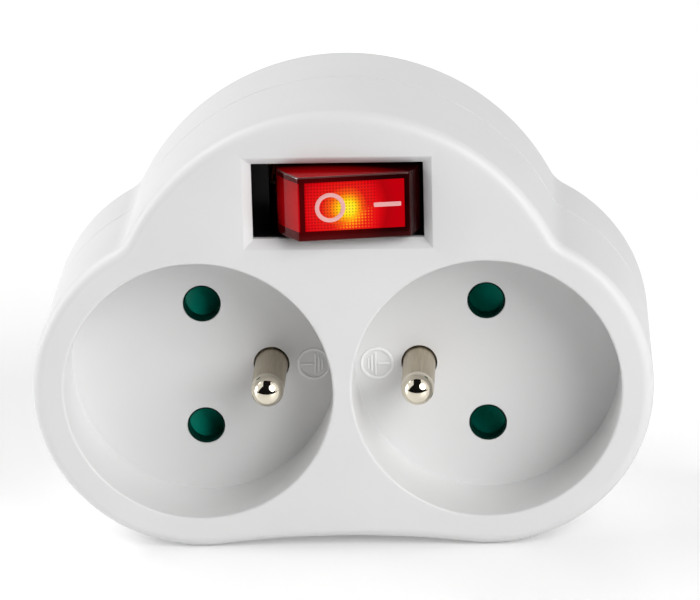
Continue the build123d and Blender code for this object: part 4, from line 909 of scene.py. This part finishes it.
def makeFloor():
    material, add, _ = newMaterial("paleFloor")
    lift = add(mathNode, {**times, 1: stage["lift"]}, {0: seenDirectly(add)})
    skin = add(skinNode, {
        "Base Color": linear(stage["floor"]), "Roughness": stage["roughness"], "Emission Color": (1, 1, 1, 1)}, {
        "Emission Strength": lift})
    add(outputNode, {}, {"Surface": skin})
    ends = [-stage["reach"], stage["reach"]]
    x, y = np.meshgrid(ends, ends)
    stageSheet("floor", np.stack([x, y, np.full_like(x, -stage["drop"])], axis=-1), material)


# Dark room behind the camera that only reflections meet: a profile in Y and Z, spread to both sides
darkRoom = dict(
    colour="#181818", profile=[(-0.15, 0.0003), (-1.3, 0.0003), (-1.3, 1.5), (0.1, 1.5)],
    halfWidth=[1.2, 2.4, 0.9, 0.5],
)


def makeDarkSide():
    material, add, _ = newMaterial("darkRoom")
    dark = add("ShaderNodeEmission", {"Color": linear(darkRoom["colour"]), "Strength": 1.0})
    add(outputNode, {}, {"Surface": dark})
    wide = np.array(darkRoom["halfWidth"])
    points = np.stack([np.column_stack([side * wide, darkRoom["profile"]]) for side in (-1, 1)], axis=1)
    card = stageSheet("darkSide", points, material)
    card.visible_camera = card.visible_diffuse = card.visible_shadow = card.visible_transmission = False


def makeWorld():
    world = bpy.data.worlds.new("studio")
    bpy.context.scene.world = world
    add = startNodes(world)
    ends = {"To Min": stage["worldToObject"], "To Max": stage["worldToCamera"]}
    level = add(rangeNode, ends, {"Value": seenDirectly(add)})
    sky = add("ShaderNodeBackground", {"Color": (1, 1, 1, 1)}, {"Strength": level})
    add("ShaderNodeOutputWorld", {}, {"Surface": sky})


def stand(thing, right, up, back, spot):  # turns a lamp or the camera to look away from back, at a spot in metres
    thing.matrix_world = Matrix([*np.stack([right, up, back, spot], axis=1).tolist(), (0, 0, 0, 1)])


# Round soft lamps in metres, all aimed at the middle of the face
lampsAim = (0, -0.02, 0.03)
lamps = dict(
    key=dict(at=(-0.55, 0.15, 0.6), size=0.45, power=2.5, shine=True),
    side=dict(at=(-1.6, -0.08, 0.27), size=0.9, power=12.8, shine=True),
    fill=dict(at=(0.55, -0.6, 0.45), size=0.7, power=6.4, shine=True),
    rear=dict(at=(0.0, 0.8, 0.06), size=0.3, power=3.0, shine=False),  # no glare along the top
)


def makeLamps():
    for name, lamp in lamps.items():
        data = bpy.data.lights.new(name, "AREA")
        data.shape, data.size, data.energy = "DISK", lamp["size"], lamp["power"]
        thing = addObject(name, data)
        thing.visible_glossy = lamp["shine"]
        back = np.array(lamp["at"]) - lampsAim
        back /= np.linalg.norm(back)
        right = np.cross([0, 0, 1], back)
        right /= np.linalg.norm(right)
        stand(thing, right, np.cross(back, right), back, lamp["at"])


# Camera: pitch, turn and roll in degrees, distance and shifts in mm, focal length in pixels of a 700 wide picture
shot = dict(
    pitch=18.3, turn=-2.6, roll=1.48, distance=600.0, focal=4148.0, across=-1.14, up=-13.21, width=700, sensor=36.0,
)


def makeCamera():
    angles = ((-shot["roll"], "Y"), (shot["pitch"], "X"), (shot["turn"], "Z"))
    roll, pitch, turn = (Matrix.Rotation(radians(angle), 3, axis) for angle, axis in angles)
    axes = np.array(roll @ pitch @ turn)
    spot = axes.T @ np.array([-shot["across"], -shot["distance"], -shot["up"]]) + [0, faceY, housing["wellZ"]]
    data = bpy.data.cameras.new("camera")
    data.sensor_fit, data.sensor_width = "HORIZONTAL", shot["sensor"]
    data.lens = shot["focal"] / shot["width"] * shot["sensor"]
    data.clip_start, data.clip_end = 0.01, 20
    camera = addObject("camera", data)
    stand(camera, axes[0], axes[2], -axes[1], spot * mm)
    bpy.context.scene.camera = camera


makeFloor()
makeDarkSide()
makeWorld()
makeLamps()
makeCamera()
bpy.context.scene.view_settings.view_transform = "Standard"
print("stage made")
